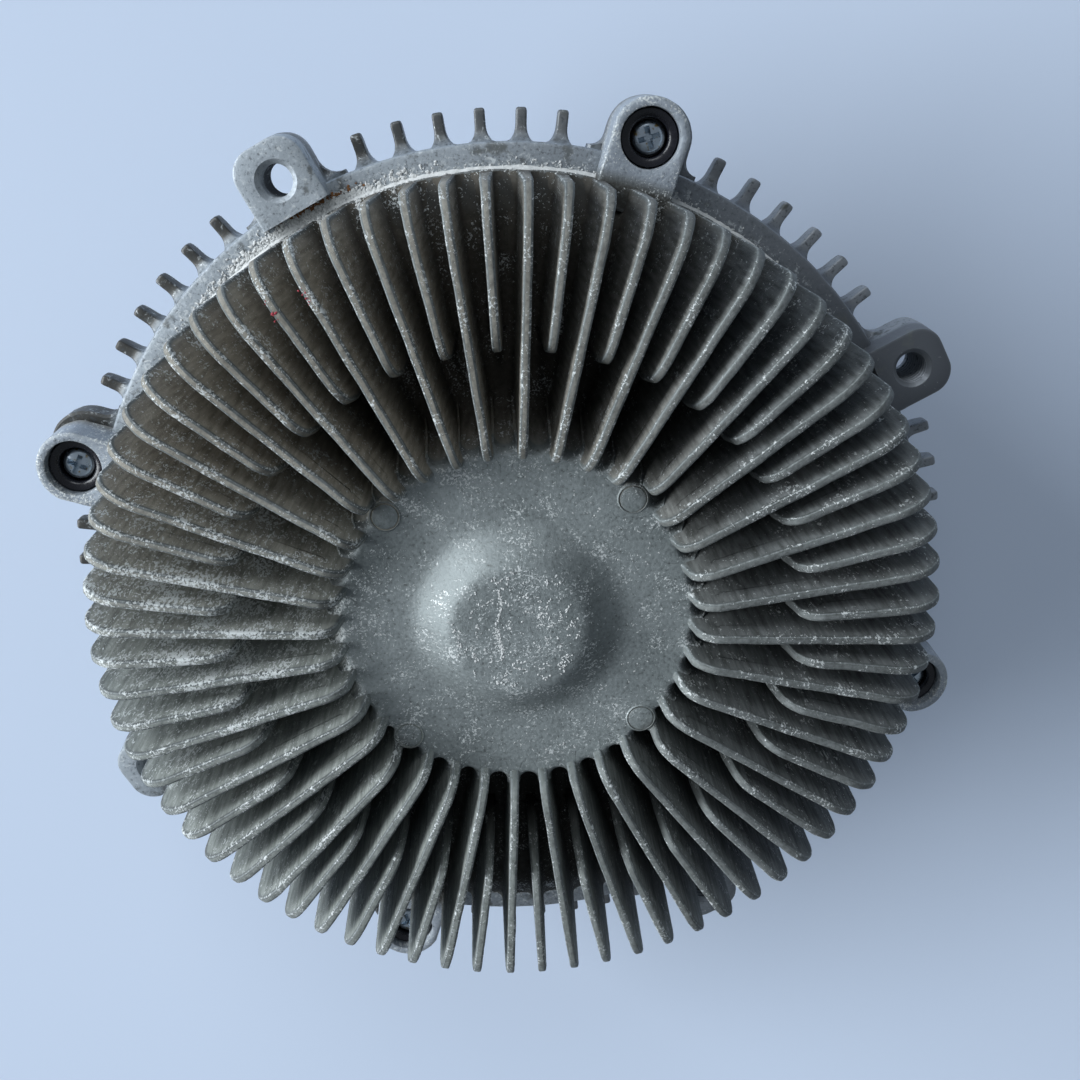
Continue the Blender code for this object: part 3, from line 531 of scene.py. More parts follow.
def fin(foot_r, nose_r):
    """A drafted wall from the hub's side to the rim, its crest a little lower at the outer end."""
    edge = 0.5
    start, end = nose_r + FIN_NOSE_R, FIN_R - FIN_CORNER_R
    outline = [(foot_r, Z_FLOOR - 6.5), (foot_r + 0.6, Z_HUB - 1.0)]
    outline += arc(start, Z_FIN - FIN_NOSE_R, FIN_NOSE_R, 168, 90, 10)
    crest = np.linspace(start, end, 20 if nose_r < 45 else 12)[1:-1]
    outline += [(x, Z_FIN - FIN_FALL * (x - start) / (end - start)) for x in crest]
    outline += arc(end, Z_FIN - FIN_FALL - FIN_CORNER_R, FIN_CORNER_R, 90, 0, 14)
    outline.append((FIN_R, Z_FLOOR - 6.5))
    steps = [(6.0, 0.0, 0.0), (2.8, 0.0, 0.0), (1.1, 0.0, 0.06)]
    steps += [(edge * (1 - math.sin(math.radians(t))), edge * (1 - math.cos(math.radians(t))), w)
              for t, w in ((0, 0.35), (35, 1.0), (62, 0.5), (90, 0.12))]
    rows, wear = [], []
    for side in (-1, 1):
        for inset, give, worn in steps if side < 0 else reversed(steps):
            line = shrink(outline, inset)
            half = FIN_HALF + (Z_FIN - line[:, 1]) * FIN_DRAFT - give
            rows.append(np.stack([line[:, 0], side * half, line[:, 1]], 1))
            wear.append(worn)
    return skin(rows, wear, caps=True)


def as_cast(part, angle, seed):
    """A fin in its place, leaning a little and uneven at its edge, as no two castings of it are alike."""
    points, faces, worn = part
    lean = 0.5 * noise.noise(Vector((seed * 1.7, 0.3, 0.9)))
    shift = np.zeros_like(points)
    shift[:, 1] = lean * (points[:, 2] - Z_FLOOR) / 31
    rough = roughen(roughen((points + shift, faces, worn), 0.10, 5.0, seed), 0.06, 1.1, seed + 50)[0]
    uneven = np.where(worn[:, None] > 0, rough, points + shift)
    uneven[:, 2] = np.minimum(uneven[:, 2], Z_FIN)
    return turned((uneven, faces, worn), angle)


long_fin = fin(HUB_R - 0.9, HUB_R + 0.5)
marked_fin = fin(HUB_R + 2.3, HUB_R + 3.2)
short_fin = fin(SHORT_FIN_R - 1.0, SHORT_FIN_R + 0.6)
print("one fin:", len(long_fin[1]), "faces")


# %% [markdown]
# Where a fin meets the disc the casting has a small fillet, as every inside corner of a die does.

# %% Fillet at a fin's foot
def disc_height(radius):
    """The disc is flat as far as its last 7.6 mm, which slope down to the rim."""
    slope = (radius - (RIM_R - 7.6)) / 7.6
    return Z_FLOOR - max(0.0, slope) * (Z_FLOOR - Z_RING - 1.0)


def foot_fillet(start):
    """A low ridge with hollow sides that lies along a fin's foot."""
    rows, reach = [], 2.0
    for radius in np.linspace(start, FIN_R - 0.2, 7):
        floor = disc_height(radius) - 0.05
        half = FIN_HALF + (Z_FIN - floor) * FIN_DRAFT
        side = [(half + reach * (1 - math.sin(a)), floor + reach * (1 - math.cos(a)))
                for a in np.radians((0, 22, 45, 68, 90))]
        line = [(-y, z) for y, z in side] + [(y, z) for y, z in reversed(side)]
        rows.append([(radius, y, z) for y, z in line])
    return skin(rows, caps=True)


long_foot = foot_fillet(HUB_R + 5.0)
short_foot = foot_fillet(SHORT_FIN_R + 1.0)

# %% [markdown]
# ## The hub and the disc
#
# Between two long fins the hub's edge is a round arch, so the rim of the flat is scalloped 36 times. One
# row of points runs round all the arches. The same row, moved in and up, becomes a circle on the flat and
# then the dome, and moved out and down it becomes the wall, the disc and the rim. The skin closes over
# the inner side too, so that the cover is a wall and not a sheet.

# %% Rows of the hub, the dome and the disc
ARCH = 13
swings = np.radians(np.linspace(-100, 100, ARCH))


def scallop(middle_r, height, inset):
    """The row of 36 arches. Each is deepest at middle_r, and an inset makes it wider."""
    points = []
    for k in range(36):
        middle = FIN_PHASE + (2 * k + 1) * STEP
        c, s = math.cos(middle), math.sin(middle)
        for swing in swings:
            side = (2.0 + inset) * math.sin(swing)
            out = middle_r + (2.0 + inset) * (1 - math.cos(swing))
            points.append((out * c - side * s, out * s + side * c, height))
    return np.array(points)


arches = scallop(60, 0, 0)
round_angles = np.arctan2(arches[:, 1], arches[:, 0])


rows = [polar(r, round_angles, z) for r, z in (
    (0.01, Z_DOME), (4, Z_DOME), (8, Z_DOME), (11.5, Z_DOME - 0.02), (13.2, Z_DOME - 0.1), (14.2, Z_DOME - 0.32),
    (15.0, Z_DOME - 0.7), (15.8, Z_DOME - 1.25), (17.2, Z_DOME - 2.3), (18.8, Z_HUB + 2.0), (20.4, Z_HUB + 0.95),
    (21.3, Z_HUB + 0.5), (22.2, Z_HUB + 0.2), (23.2, Z_HUB + 0.04), (24.5, Z_HUB), (28.5, Z_HUB), (31.5, Z_HUB),
    (34.0, Z_HUB))]
wear = [0.5] * 4 + [0.55, 0.55, 0.5, 0.4] + [0.35] * 4 + [0.32] + [0.3] * 5
for out, z, inset, w in (
        (-0.7, Z_HUB, 1.1, 0.5), (-0.1, Z_HUB - 0.03, 0.5, 0.8), (0.3, Z_HUB - 0.2, 0.3, 0.9),
        (0.75, Z_HUB - 0.7, 0.15, 0.7), (1.2, Z_HUB - 1.5, 0.05, 0.4), (1.8, Z_HUB - 2.8, 0, 0.15),
        (2.6, (Z_HUB + Z_FLOOR) / 2, 0, 0), (3.9, Z_FLOOR + 3.0, 0, 0), (4.7, Z_FLOOR + 1.0, 0, 0),
        (6.2, Z_FLOOR + 0.1, 0, 0)):
    rows.append(scallop(HUB_R + out, z, inset))
    wear.append(w)
for r, z, w in (
        (50, Z_FLOOR, 0), (62, Z_FLOOR, 0), (74, Z_FLOOR, 0), (81.6, Z_FLOOR, 0.1), (83.2, Z_FLOOR - 0.4, 0.2),
        (86.0, Z_FLOOR - 2.2, 0.3), (88.9, Z_RING + 1.7, 0.4), (89.6, Z_RING + 1.3, 0.8),
        (89.9, Z_RING + 0.8, 0.8), (RIM_R, Z_RIM, 0.3), (85.8, Z_RIM, 0), (85.8, 57.0, 0), (36, 57.0, 0),
        (32, Z_HUB - 5, 0), (0.01, Z_HUB - 5, 0)):
    rows.append(polar(r, round_angles, z))
    wear.append(w)
disc = roughen(skin(rows, wear), 0.07, 2.2, 3.0)
print("hub and disc:", len(disc[1]), "faces")

# %% [markdown]
# Four round marks lie at the edge of the flat, where pins pushed the casting out of the die. Each is a
# disc with a groove round it, and it bulges past the hub's edge as a short pillar.

# %% Ejector marks
mark = lathe([(0.01, 0.06), (2.2, 0.05), (2.62, 0.0), (2.68, -0.12), (2.7, -0.24), (2.9, -0.24), (2.92, -0.12),
              (3.0, -0.02), (3.12, -0.05), (3.42, -0.4), (3.5, -9.0)], 48,
             wear=[0.3, 0.3, 0.3, -0.2, -0.6, -0.6, -0.2, 0.4, 0.3, 0.1, 0.0])
marks = []
for k in range(4):
    points, faces, worn = turned(mark, math.radians(45 + 90 * k), HUB_R - 0.55)
    marks.append((points + np.array((0, 0, Z_HUB + 0.25)), faces, worn))


# %% [markdown]
# ## Ears of the cover
#
# Each ear of the cover has a counterbore for the screw's cup. Rows that start as the ear's outline and
# end as the bore's circle make the top face, the bore's wall and its floor in one skin.

# %% Ears with a counterbore
def ray_outline(count, inner, half, end):
    """Distance from the hole to a straight-sided ear with a round end, all round."""
    angles = all_round(count)
    c, s = np.cos(angles), np.sin(angles)
    reach = half / np.maximum(np.abs(s), 1e-6)
    reach = np.where(c > 0, np.minimum(reach, end), reach)
    reach = np.where(c < 0, np.minimum(reach, inner / np.minimum(c, -1e-6)), reach)
    return angles, reach


def cover_ear():
    angles, reach = ray_outline(120, RIM_R - 5.5 - EAR_R, EAR_HALF, EAR_END)
    top = Z_SCREW_EAR
    rows = [polar(reach + grow, angles, z) for grow, z in (
        (0.15, Z_COVER_EAR), (-0.1, top - 0.7), (-0.22, top - 0.25), (-0.6, top - 0.02), (-1.1, top))]
    rows += [polar(r, angles, z) for r, z in (
        (CUP_BORE_R + 0.35, top), (CUP_BORE_R + 0.1, top - 0.1), (CUP_BORE_R, top - 0.35),
        (CUP_BORE_R, Z_BORE_FLOOR), (SHANK_BORE_R, Z_BORE_FLOOR), (SHANK_BORE_R, Z_COVER_EAR))]
    wear = [0.1, 0.5, 1.0, 0.9, 0.55, 0.6, 1.0, 0.7, 0, 0, 0]
    return roughen(skin(rows, wear, loop=True), 0.05, 1.5, 8.0)


ear = cover_ear()
parts = [disc] + marks
parts += [as_cast(marked_fin if k % 9 == 4 else long_fin, FIN_PHASE + 2 * k * STEP, k) for k in range(36)]
parts += [as_cast(short_fin, FIN_PHASE + (2 * k + 1) * STEP, k + 40) for k in range(36)]
parts += [turned(long_foot, FIN_PHASE + 2 * k * STEP) for k in range(36)]
parts += [turned(short_foot, FIN_PHASE + (2 * k + 1) * STEP) for k in range(36)]
parts += [turned(ear, angle, EAR_R) for angle in SCREW_EARS]
cover = make("finned_cover", parts, COVER_CAST, "housing", "front_cover")

# %% [markdown]
# ## The rear body
#
# The body is a bowl: a ring, a sloped wall, a flat web and the boss that holds the bearing. It is turned
# from one closed profile. Sixty-four ribs cross the web's back. Forty-eight of them end as short pegs
# outside the ring, with a round root, and stir the air for cooling. The sixteen beside the ears end at
# the ring, because the ears leave no room for a peg.

# %% Bowl and boss
bore = BEARING_BORE_R
bowl = lathe([
    (RIM_R + GAP, Z_RING - 0.2), (RIM_R + GAP + 0.2, Z_RING), (RING_R - 0.9, Z_RING), (RING_R - 0.3, Z_RING - 0.2),
    (RING_R, Z_RING - 0.8), (RING_R - 2.4, 48.5), (RING_R - 5.0, Z_WEB + 1.6), (RING_R - 6.4, Z_WEB + 0.3),
    (RING_R - 8.0, Z_WEB), (60, Z_WEB), (bore + 14, Z_WEB), (bore + 11, Z_WEB - 0.7), (bore + 9.0, Z_WEB - 2.6),
    (bore + 8.2, Z_WEB - 5.2), (bore + 7.5, Z_BOSS + 1.2), (bore + 7.1, Z_BOSS + 0.4), (bore + 6.4, Z_BOSS),
    (bore + 0.4, Z_BOSS), (bore, Z_BOSS + 0.4), (bore, 23.9), (bore + 1.4, 23.9), (bore + 1.4, 25.7), (bore, 25.7),
    (bore, 41.0), (bore - 3.8, 41.0), (bore - 3.8, 45.0), (bore + 5.5, 45.0), (bore + 7, Z_CHAMBER),
    (SEAT_STEP_R, Z_CHAMBER), (SEAT_STEP_R, Z_SEAT), (RIM_R + GAP, Z_SEAT)], 288, loop=True,
    wear=[0.3, 0.5, 0.5, 0.9, 0.6] + [0.2] * 9 + [0.5, 0.7, 0.5, 0.6, 0.4] + [0.2] * 12)
bowl = roughen(bowl, 0.05, 3.0, 5.0)


# %% A rib and its peg
def rib(last):
    """A rib with round edges, as far as a radius. Past the ring it narrows to a peg with a hollow root."""
    rows, wear = [], []
    radii = [62, 74, 87.8, 92.2, PEG_ROOT_R, 95.3, 95.8, 96.3, 96.9, 97.6, 98.4, 100.0, 101.2, 101.6, 101.82, 101.9]
    for radius in [r for r in radii if r <= last]:
        root = min(1.0, max(0.0, (radius - PEG_ROOT_R) / 3.8))
        curve = 1 - math.sqrt(max(0.0, 1 - (1 - root) ** 2))
        half = 1.15 + (2.6 * curve if radius > 94 else 0.0)
        if radius > 94:
            high = Z_PEG + (Z_RING - 0.5 - Z_PEG) * curve
            low = Z_PEG - 4.9 - 0.5 * curve + max(0.0, radius - 99.5) * 0.5
        else:
            high = Z_CHAMBER - 2.0 if radius < 90 else Z_RING - 1.0
            low = Z_WEB - 0.4 - 3.6 * (radius - 62) / 25.8 if radius < 88 else 35.0 + (radius - 87.8) * 1.45
        end = max(0.0, radius - 101.2) / 0.7
        tuck = 0.55 * (1 - math.sqrt(max(0.0, 1 - end ** 2)))
        half, high, low = half - tuck, high - tuck, low + tuck
        edge = 0.42
        section = []
        for y, z, turn in ((half, high, 0), (-half, high, 90), (-half, low, 180), (half, low, 270)):
            cy = y - math.copysign(edge, y)
            cz = z - edge if z == high else z + edge
            for a in np.radians((turn, turn + 30, turn + 60, turn + 90)):
                section.append((radius, cy + edge * math.cos(a), cz + edge * math.sin(a)))
        rows.append(section)
        wear.append(0.1 if radius < 94 else 0.2 + 0.3 * end)
    return skin(rows, wear, caps=True)


one_rib = rib(PEG_R)
rib_at_ear = rib(PEG_ROOT_R)
ribs = []
for k in range(8):
    between_ears = THREADED_EARS[0] + math.radians(22.5 + 45 * k)
    ribs += [turned(rib_at_ear if abs(i) == 7 else one_rib, between_ears + i * STEP / 2) for i in range(-7, 8, 2)]
print("ribs:", len(ribs))


# %% [markdown]
# ## Threaded ears
#
# The fan is bolted to four ears with a coarse M8 thread: 1.25 mm from crest to crest, 6.7 mm across the
# crests. A thread could be a helix, but at this size plain grooves look the same, and they need no
# seam. The tap left a bright chamfer at the mouth.

# %% Outline of an ear, and an ear with a threaded hole
def ear_line(half, end, corner, root):
    """Half an ear's plan from its root to the middle of its end, then mirrored."""
    inner = RIM_R + 2.7 - EAR_R
    face = RING_R - EAR_R
    line = [(inner, y) for y in np.linspace(0.3, half + root, 14)]
    for a in np.radians(np.linspace(0, 90, 7)):
        line.append((face + root * (1 - math.cos(a)), half + root * (1 - math.sin(a))))
    line += [(x, half) for x in np.linspace(face + root, end - corner, 6)[1:-1]]
    line += [(x, y) for x, y in reversed(arc(end - corner, half - corner, corner, 0, 90, 12))]
    line += [(end, y) for y in np.linspace(half - corner, 0.3, 6)[1:]]
    return np.array(line + [(x, -y) for x, y in reversed(line)])


def on_line(line, height):
    """The outline itself at a height."""
    return np.column_stack([line, np.full(len(line), height)])


def hole_row(line, radius, height):
    """A circle with its points in the directions of the outline's points."""
    return polar(radius, np.arctan2(line[:, 1], line[:, 0]), height)


def threaded_ear():
    """Rows go up the outside, over the face and down the hole, where each pitch is a groove."""
    flared = ear_line(EAR_HALF + 0.1, EAR_END + 0.05, 5.5, 4.2)
    back = ear_line(EAR_HALF - 1.0, EAR_END - 1.2, 5.0, 4.2)
    pad = ear_line(EAR_HALF + 0.1, EAR_END + 0.05, 5.5, 0.05)
    top = ear_line(EAR_HALF - 0.25, EAR_END - 0.25, 5.3, 0.05)
    face = ear_line(EAR_HALF - 0.8, EAR_END - 0.8, 4.9, 0.05)
    rows = [hole_row(back, 3.6, Z_EAR_BACK), on_line(back, Z_EAR_BACK), on_line(flared, Z_EAR_BACK + 3.5),
            on_line(flared, Z_PEG + 0.2), on_line(pad, Z_PEG + 1.4), on_line(top, Z_EAR - 0.6),
            on_line(top - np.sign(top) * 0.08, Z_EAR - 0.2), on_line(face, Z_EAR)]
    rows += [hole_row(face, r, z) for r, z in ((4.35, Z_EAR), (4.2, Z_EAR - 0.12), (3.5, Z_EAR - 0.85))]
    wear = [0.2, 0.3, 0.2, 0.2, 0.5, 0.7, 1.0, 0.6, 0.9, 1.6, 1.2]
    z = Z_EAR - 1.0
    while z > Z_EAR_BACK + 1.2:
        for radius, drop, worn in ((THREAD_CREST_R, 0.0, 2.5), (THREAD_CREST_R, 0.16, 2.5),
                                   (THREAD_ROOT_R, 0.58, -1.0), (THREAD_ROOT_R, 0.72, -1.0)):
            rows.append(hole_row(face, radius, z - drop))
            wear.append(worn)
        z -= THREAD_PITCH
    return skin(rows, wear, loop=True)


def screw_ear():
    """The ear under a cover's ear. It leans 1.1 mm to one side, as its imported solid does."""
    hole, low, high, lean = 2.25, 44.5, Z_PEG + 1.2, np.array((0, -1.1))
    line = ear_line(9.0, 8.4, 8.0, 3.0) + lean
    small = ear_line(8.4, 8.0, 7.6, 3.0) + lean
    rows = [hole_row(small, hole, low), on_line(small, low), on_line(line, low + 0.8), on_line(line, high - 0.5),
            on_line(small, high), hole_row(small, hole, high)]
    return skin(rows, [0.2, 0.3, 0.3, 0.4, 0.5, 0.0], loop=True)


threaded = roughen(threaded_ear(), 0.03, 1.8, 1.0)
plain = roughen(screw_ear(), 0.05, 1.8, 2.0)
parts = [bowl] + ribs
parts += [turned(threaded, angle, EAR_R) for angle in THREADED_EARS]
parts += [turned(plain, angle, EAR_R) for angle in SCREW_EARS]
body = make("ribbed_rear_body", parts, BODY_CAST, "housing", "rear_body")


# %% [markdown]
# ## Crumbs of salt, rust and paint
#
# White salts have grown where the cover meets the ring, thick round the upper left ear and thin on the
# right. A bead along the joint would look like a rope, because real salts are loose crumbs. So some
# thousands of uneven crumbs are strewn by a seeded generator, which gives the same crumbs each run.

# %% One crumb, and a strewn line of them
chance = np.random.default_rng(11)


def crumb(at, size):
    """An uneven stone of three five-sided rings."""
    rows = []
    stretch = chance.uniform(0.35, 1.7, 5)
    for height, reach in ((-0.4, 0.8), (0.0, 1.0), (0.3, 0.5)):
        angles = all_round(5) + chance.uniform(0, 0.8)
        rows.append(polar(size * reach * stretch, angles, at[2] + size * height) + (at[0], at[1], 0))
    return skin(rows, caps=True)


def ring_height(radius):
    """Where a crumb lies near the joint: on the disc's slope, in the joint or on the ring's face."""
    if radius < RIM_R - 0.4:
        return disc_height(radius) + 0.1
    return Z_RING + (0.9 if radius < RIM_R else 0.08)


def strewn_ring(count, middle, spread, radius, depth, smallest, largest):
    """Crumbs along the joint, thickest at one angle and one radius, and mostly small."""
    crumbs = []
    for _ in range(count):
        angle = math.radians(chance.normal(middle, spread))
        r = chance.normal(radius, depth)
        size = smallest + (largest - smallest) * chance.random() ** 3
        crumbs.append(crumb((r * math.cos(angle), r * math.sin(angle), ring_height(r)), size))
    return crumbs


def strewn_flat(clusters, reach, height, each, smallest, largest, inner=0.0):
    """Clusters of flakes on a level place round the axis."""
    crumbs = []
    for _ in range(clusters):
        angle, r = chance.uniform(0, 2 * math.pi), math.sqrt(chance.uniform(inner ** 2, reach ** 2))
        heading = chance.uniform(0, math.pi)
        for step in range(chance.integers(1, each)):
            along = 0.3 * step + chance.normal(0, 0.12)
            x = r * math.cos(angle) + along * math.cos(heading) + chance.normal(0, 0.15)
            y = r * math.sin(angle) + along * math.sin(heading) + chance.normal(0, 0.15)
            crumbs.append(crumb((x, y, height), chance.uniform(smallest, largest)))
    return crumbs


# %% White salts
salts = strewn_ring(1500, 0, 130, RIM_R + 0.3, 0.5, 0.05, 0.26)
salts += strewn_ring(3000, 115, 8, RIM_R + 0.7, 1.0, 0.06, 0.5)
salts += strewn_ring(1200, 140, 20, RIM_R + 0.4, 0.7, 0.05, 0.28)
salts += strewn_ring(500, 75, 9, RIM_R + 0.6, 0.7, 0.05, 0.26)
salts += strewn_flat(120, 13.6, Z_DOME + 0.02, 8, 0.08, 0.24)
salts += strewn_flat(150, 34, Z_HUB + 0.02, 4, 0.07, 0.18, 24)

# a scratch across the dome's top, filled with salts
for t in np.sort(chance.random(150)) ** 1.2:
    at = (-3.5 - 0.7 * t + 0.5 * math.sin(9 * t) + chance.normal(0, 0.2), 9.5 - 15.9 * t, Z_DOME + 0.02)
    salts.append(crumb(at, chance.uniform(0.07, 0.24)))

# grime fills the joint between the rim and the ring
grime = lathe([(89.5, 54.6), (90.6, 54.6), (90.5, 55.38), (90.2, 55.55), (89.9, 56.0), (89.5, 56.3)], 900, loop=True)
salts.append(roughen(grime, 0.22, 0.9, 4.0))
crust = make("salt_crust", salts, SALTS, "housing", sharp=80)

# %% Rust from the seam of an ear, and red paint on two crests
rusty = strewn_ring(260, 112.4, 2.0, 92.3, 0.25, 0.08, 0.42)
rusty += strewn_ring(60, 158.7, 1.6, 93.6, 0.6, 0.06, 0.26)
rust = make("rust_crumbs", rusty, RUST, "housing", sharp=80)
red = []
for x, y in ((-34.2, 71.9), (-40.4, 69.2)):
    for _ in range(14):
        t = chance.normal(0, 0.8)
        out = Vector((x, y, 0)).normalized() * t
        red.append(crumb((x + out.x + chance.normal(0, 0.3), y + out.y + chance.normal(0, 0.3), Z_FIN - 0.34),
                         chance.uniform(0.08, 0.22)))
paint = make("red_paint_specks", red, RED_PAINT, "housing", sharp=80)

# %% [markdown]
# ## Screws and their cups
#
# A pan-head screw with a cross recess holds the cover at each counterbored ear. The recess is two tapered
# blades that a Boolean takes out of the turned head: modelling the cross by hand would need many more
# faces. Each screw stopped at its own angle.

# %% Blade that cuts half of a cross recess
def blade(angle):
    rows = []
    for height, length, width in ((3.2, 2.75, 0.62), (1.9, 2.0, 0.5), (0.75, 0.8, 0.32)):
        corners = ((-length, -width), (length, -width), (length, width), (-length, width))
        rows.append([(x, y, height) for x, y in corners])
    points, faces, worn = turned(skin(rows, caps=True), angle)
    mesh = bpy.data.meshes.new("blade")
    mesh.from_pydata([tuple(Vector(p) * MM) for p in points], [], faces)
    bm = bmesh.new()
    bm.from_mesh(mesh)
    bmesh.ops.recalc_face_normals(bm, faces=bm.faces[:])
    bm.to_mesh(mesh)
    bm.free()
    cutter = bpy.data.objects.new("blade", mesh)
    bpy.context.scene.collection.objects.link(cutter)
    return cutter


# %% Screws
head = lathe([(0.001, 2.5), (1.6, 2.46), (2.5, 2.3), (3.05, 2.0), (3.4, 1.6), (3.56, 1.2), (3.6, 0.8), (3.6, 0.12),
              (3.5, 0.0), (1.95, 0.0), (1.95, -13.1), (1.5, -13.5), (0.001, -13.5)], 64)
head_low = Z_BORE_FLOOR + GAP + 0.8 + GAP  # on the cup's floor, which is 0.8 mm thick
STOPPED_AT = (12, 62, 20, 40)  # degrees
for k, angle in enumerate(SCREW_EARS):
    at = Matrix.Rotation(angle, 4, "Z") @ Vector((EAR_R, 0, head_low))
    screw = make("cross_screw_%d" % (k + 1), [head], ZINC, "housing", "cover_screw_%d" % (k + 1))
    for turn in (0, 90):
        cut_away(screw, blade(math.radians(turn)))
    stopped = Matrix.Rotation(math.radians(STOPPED_AT[k]), 4, "Z")
    screw.data.transform(Matrix.Translation(at * MM) @ stopped)
    screw.data.set_sharp_from_angle(angle=math.radians(30))

# %% Cups
cup_profile = [(5.8, 4.1), (5.68, 4.4), (5.3, 4.42), (4.45, 4.1), (4.15, 3.95), (3.98, 3.7), (3.94, 0.95),
               (3.8, 0.8), (2.3, 0.8), (2.3, 0.0), (5.6, 0.0), (5.8, 0.2)]
ring = lathe(cup_profile, 72, loop=True)
for k, angle in enumerate(SCREW_EARS):
    points, faces, worn = turned(ring, angle, EAR_R)
    seated = (points + np.array((0, 0, Z_BORE_FLOOR + GAP)), faces, worn)
    cup = make("black_cup_%d" % (k + 1), [seated], RUBBER, "housing", "screw_cup_%d" % (k + 1))

# %% [markdown]
# ## The turned pieces behind
#
# From below the flange, the bearing, its seal and the circlip show. They are turned steel, so each is a
# profile with enough steps to look round. The flange's four stud holes are cut with a Boolean.

# %% Shaft with its flange
shaft_profile = [
    (0.001, 65.3), (5.6, 65.3), (6.0, 64.9), (6.0, 53.0), (9.0, 53.0), (9.0, 40.2), (12.2, 40.2), (12.2, 25.4),
    (15.1, 25.4), (15.1, 17.4), (15.6, 14.5), (17.0, 11.6), (18.5, 10.0), (21.0, 7.1), (22.5, 7.0), (38.2, 7.0),
    (38.8, 6.8), (39.0, 6.2), (39.0, 0.7), (38.6, 0.15), (38.1, 0.0), (11.6, 0.0), (11.1, 0.3), (11.0, 0.8),
    (11.0, 9.0), (0.001, 11.0)]
shaft = make("flanged_shaft", [lathe(shaft_profile, 96)], STEEL, "shaft", "input_shaft")
for k in range(4):
    bpy.ops.mesh.primitive_cylinder_add(vertices=48, radius=STUD_HOLE_R * MM, depth=12 * MM)
    cutter = bpy.context.object
    angle = math.radians(45 + 90 * k)
    middle = Vector((math.cos(angle), math.sin(angle), 0.1)) * STUD_CIRCLE_R * MM
    cutter.matrix_world = Matrix.Translation(middle)
    cut_away(shaft, cutter)
print("shaft:", len(shaft.data.polygons), "faces")

# %% Bearing rings, seal and circlip
inner_ring = [(12.5, 40.7), (15.6, 40.7), (15.8, 40.5), (15.8, 36.8), (15.0, 34.6), (14.78, 33.2), (15.0, 31.8),
              (15.8, 29.6), (15.8, 25.9), (15.6, 25.7), (12.7, 25.7), (12.5, 25.9)]
outer_ring = [(26.0, 40.5), (26.0, 25.9), (25.8, 25.7), (22.9, 25.7), (22.7, 25.9), (22.7, 29.6), (23.5, 31.8),
              (23.72, 33.2), (23.5, 34.6), (22.7, 36.8), (22.7, 40.5), (22.9, 40.7), (25.8, 40.7)]
seal = [(22.2, 27.3), (22.2, 26.5), (22.0, 26.3), (20.5, 26.3), (20.2, 26.6), (18.0, 26.6), (17.7, 26.3),
        (16.3, 26.3), (16.1, 26.5), (16.1, 27.3)]
for name, profile, look, on, node, slot in (
        ("bearing_inner", inner_ring, STEEL, "shaft", "bearing_inner_ring", "steel"),
        ("bearing_outer", outer_ring, STEEL, "housing", "bearing_outer_ring", "steel"),
        ("bearing_shield", seal, RUBBER, "housing", "bearing_seal", "black_rubber")):
    make(name, [lathe(profile, 96, loop=True)], look, on, node)

# the ring is open on one side, and its two ends reach inward for the pliers
outline = arc(0, 0, 27.4, 14, 346, 80) + arc(0, 0, 22.0, 346, 338, 4)
outline += arc(0, 0, 24.0, 332, 28, 70) + arc(0, 0, 22.0, 22, 14, 4)
flat = np.array(outline)
rows = [on_line(flat, 24.2), on_line(flat, 25.4)]
make("circlip", [skin(rows, caps=True)], STEEL, "housing", "bearing_circlip")

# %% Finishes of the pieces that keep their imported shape
for name, node in frame["nodes"].items():
    if name.startswith("bearing_ball"):
        finish = STEEL
    elif name == "bearing_cage":
        finish = BRASS
    elif name == "rotor":
        finish = BODY_CAST
    elif name in ("rotor_washer", "rotor_nut"):
        finish = ZINC
    else:
        continue
    for held in node.material_slots:
        held.material = finish

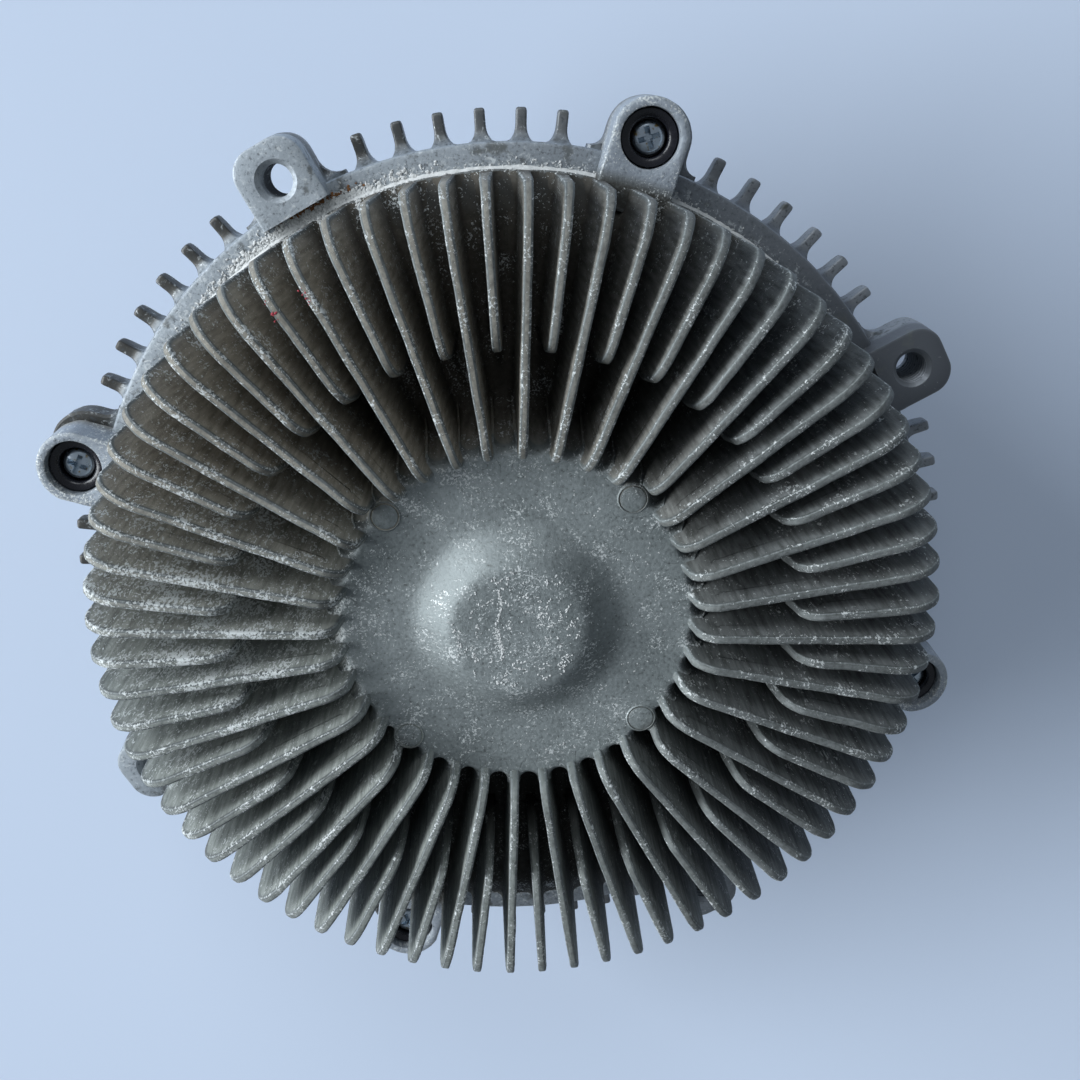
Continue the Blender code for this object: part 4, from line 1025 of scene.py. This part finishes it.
# %% [markdown]
# ## Floor and light
#
# The table's paint is a pale blue grey, with no gloss that would mirror the lamps.
# The clutch lies on a pale table by a window. The light is soft and low and comes from the left, so the
# right slope of the dome and the floor on the right are darker. One wide lamp stands for that window, a
# weak one for a window beyond the table, and the world gives the rest.

# %% Floor
def painted_table():
    look, tree, shader, place = start_material("pale_table")
    soft = add(tree, "ShaderNodeTexNoise", (), {"Vector": place, "Scale": 3.0, "Detail": 2.0}).outputs[0]
    tone = add(tree, "ShaderNodeMix", COLOURS, {
        0: soft, 6: colour("#c1cee1"), 7: colour("#ccd8e9")}).outputs[2]

    # painted shade: the floor is darker away from the middle, to hold down the strong light of the window lamp near
    # the floor's edge
    shade_far_out = add(tree, "ShaderNodeVectorMath", {"operation": "LENGTH"}, {0: place}).outputs["Value"]
    shade_far_out = add(tree, "ShaderNodeMapRange", (), {"Value": shade_far_out, "From Min": 0.40, "From Max": 2.4}).outputs[0]
    tone = add(tree, "ShaderNodeMix", COLOURS, {0: shade_far_out, 6: tone, 7: colour("#5c6470")}).outputs[2]
    tree.links.new(tone, shader.inputs["Base Color"])
    shader.inputs["Roughness"].default_value = 0.85
    shader.inputs["Specular IOR Level"].default_value = 0.2
    return look


bpy.ops.mesh.primitive_plane_add(size=6.0, location=(0, 0, -0.0005))
floor = bpy.context.object
floor.name = "floor"
floor.data.materials.append(painted_table())


# %% Lamps and world
def lamp(name, at, width, height, power, tint):
    """A rectangle of light that looks at the clutch."""
    data = bpy.data.lights.new(name, "AREA")
    data.shape = "RECTANGLE"
    data.size = width
    data.size_y = height
    data.energy = power
    data.color = tint
    made = bpy.data.objects.new(name, data)
    bpy.context.scene.collection.objects.link(made)
    made.location = at
    made.rotation_euler = (Vector((0, 0, 0.05)) - Vector(at)).to_track_quat("-Z", "Y").to_euler()


daylight = (0.90, 0.95, 1.0)
lamp("near_window", (-6.44, 1.68, 2.90), 8.4, 3.8, 1104.0, daylight)
lamp("far_window", (-0.62, 6.60, 4.20), 4.0, 3.0, 136.0, daylight)
world = bpy.data.worlds.new("studio")
bpy.context.scene.world = world
world.use_nodes = True
backing = world.node_tree.nodes["Background"]
backing.inputs["Color"].default_value = colour("#d8e4f2")
backing.inputs["Strength"].default_value = 0.28
bpy.context.scene.view_settings.view_transform = "Standard"
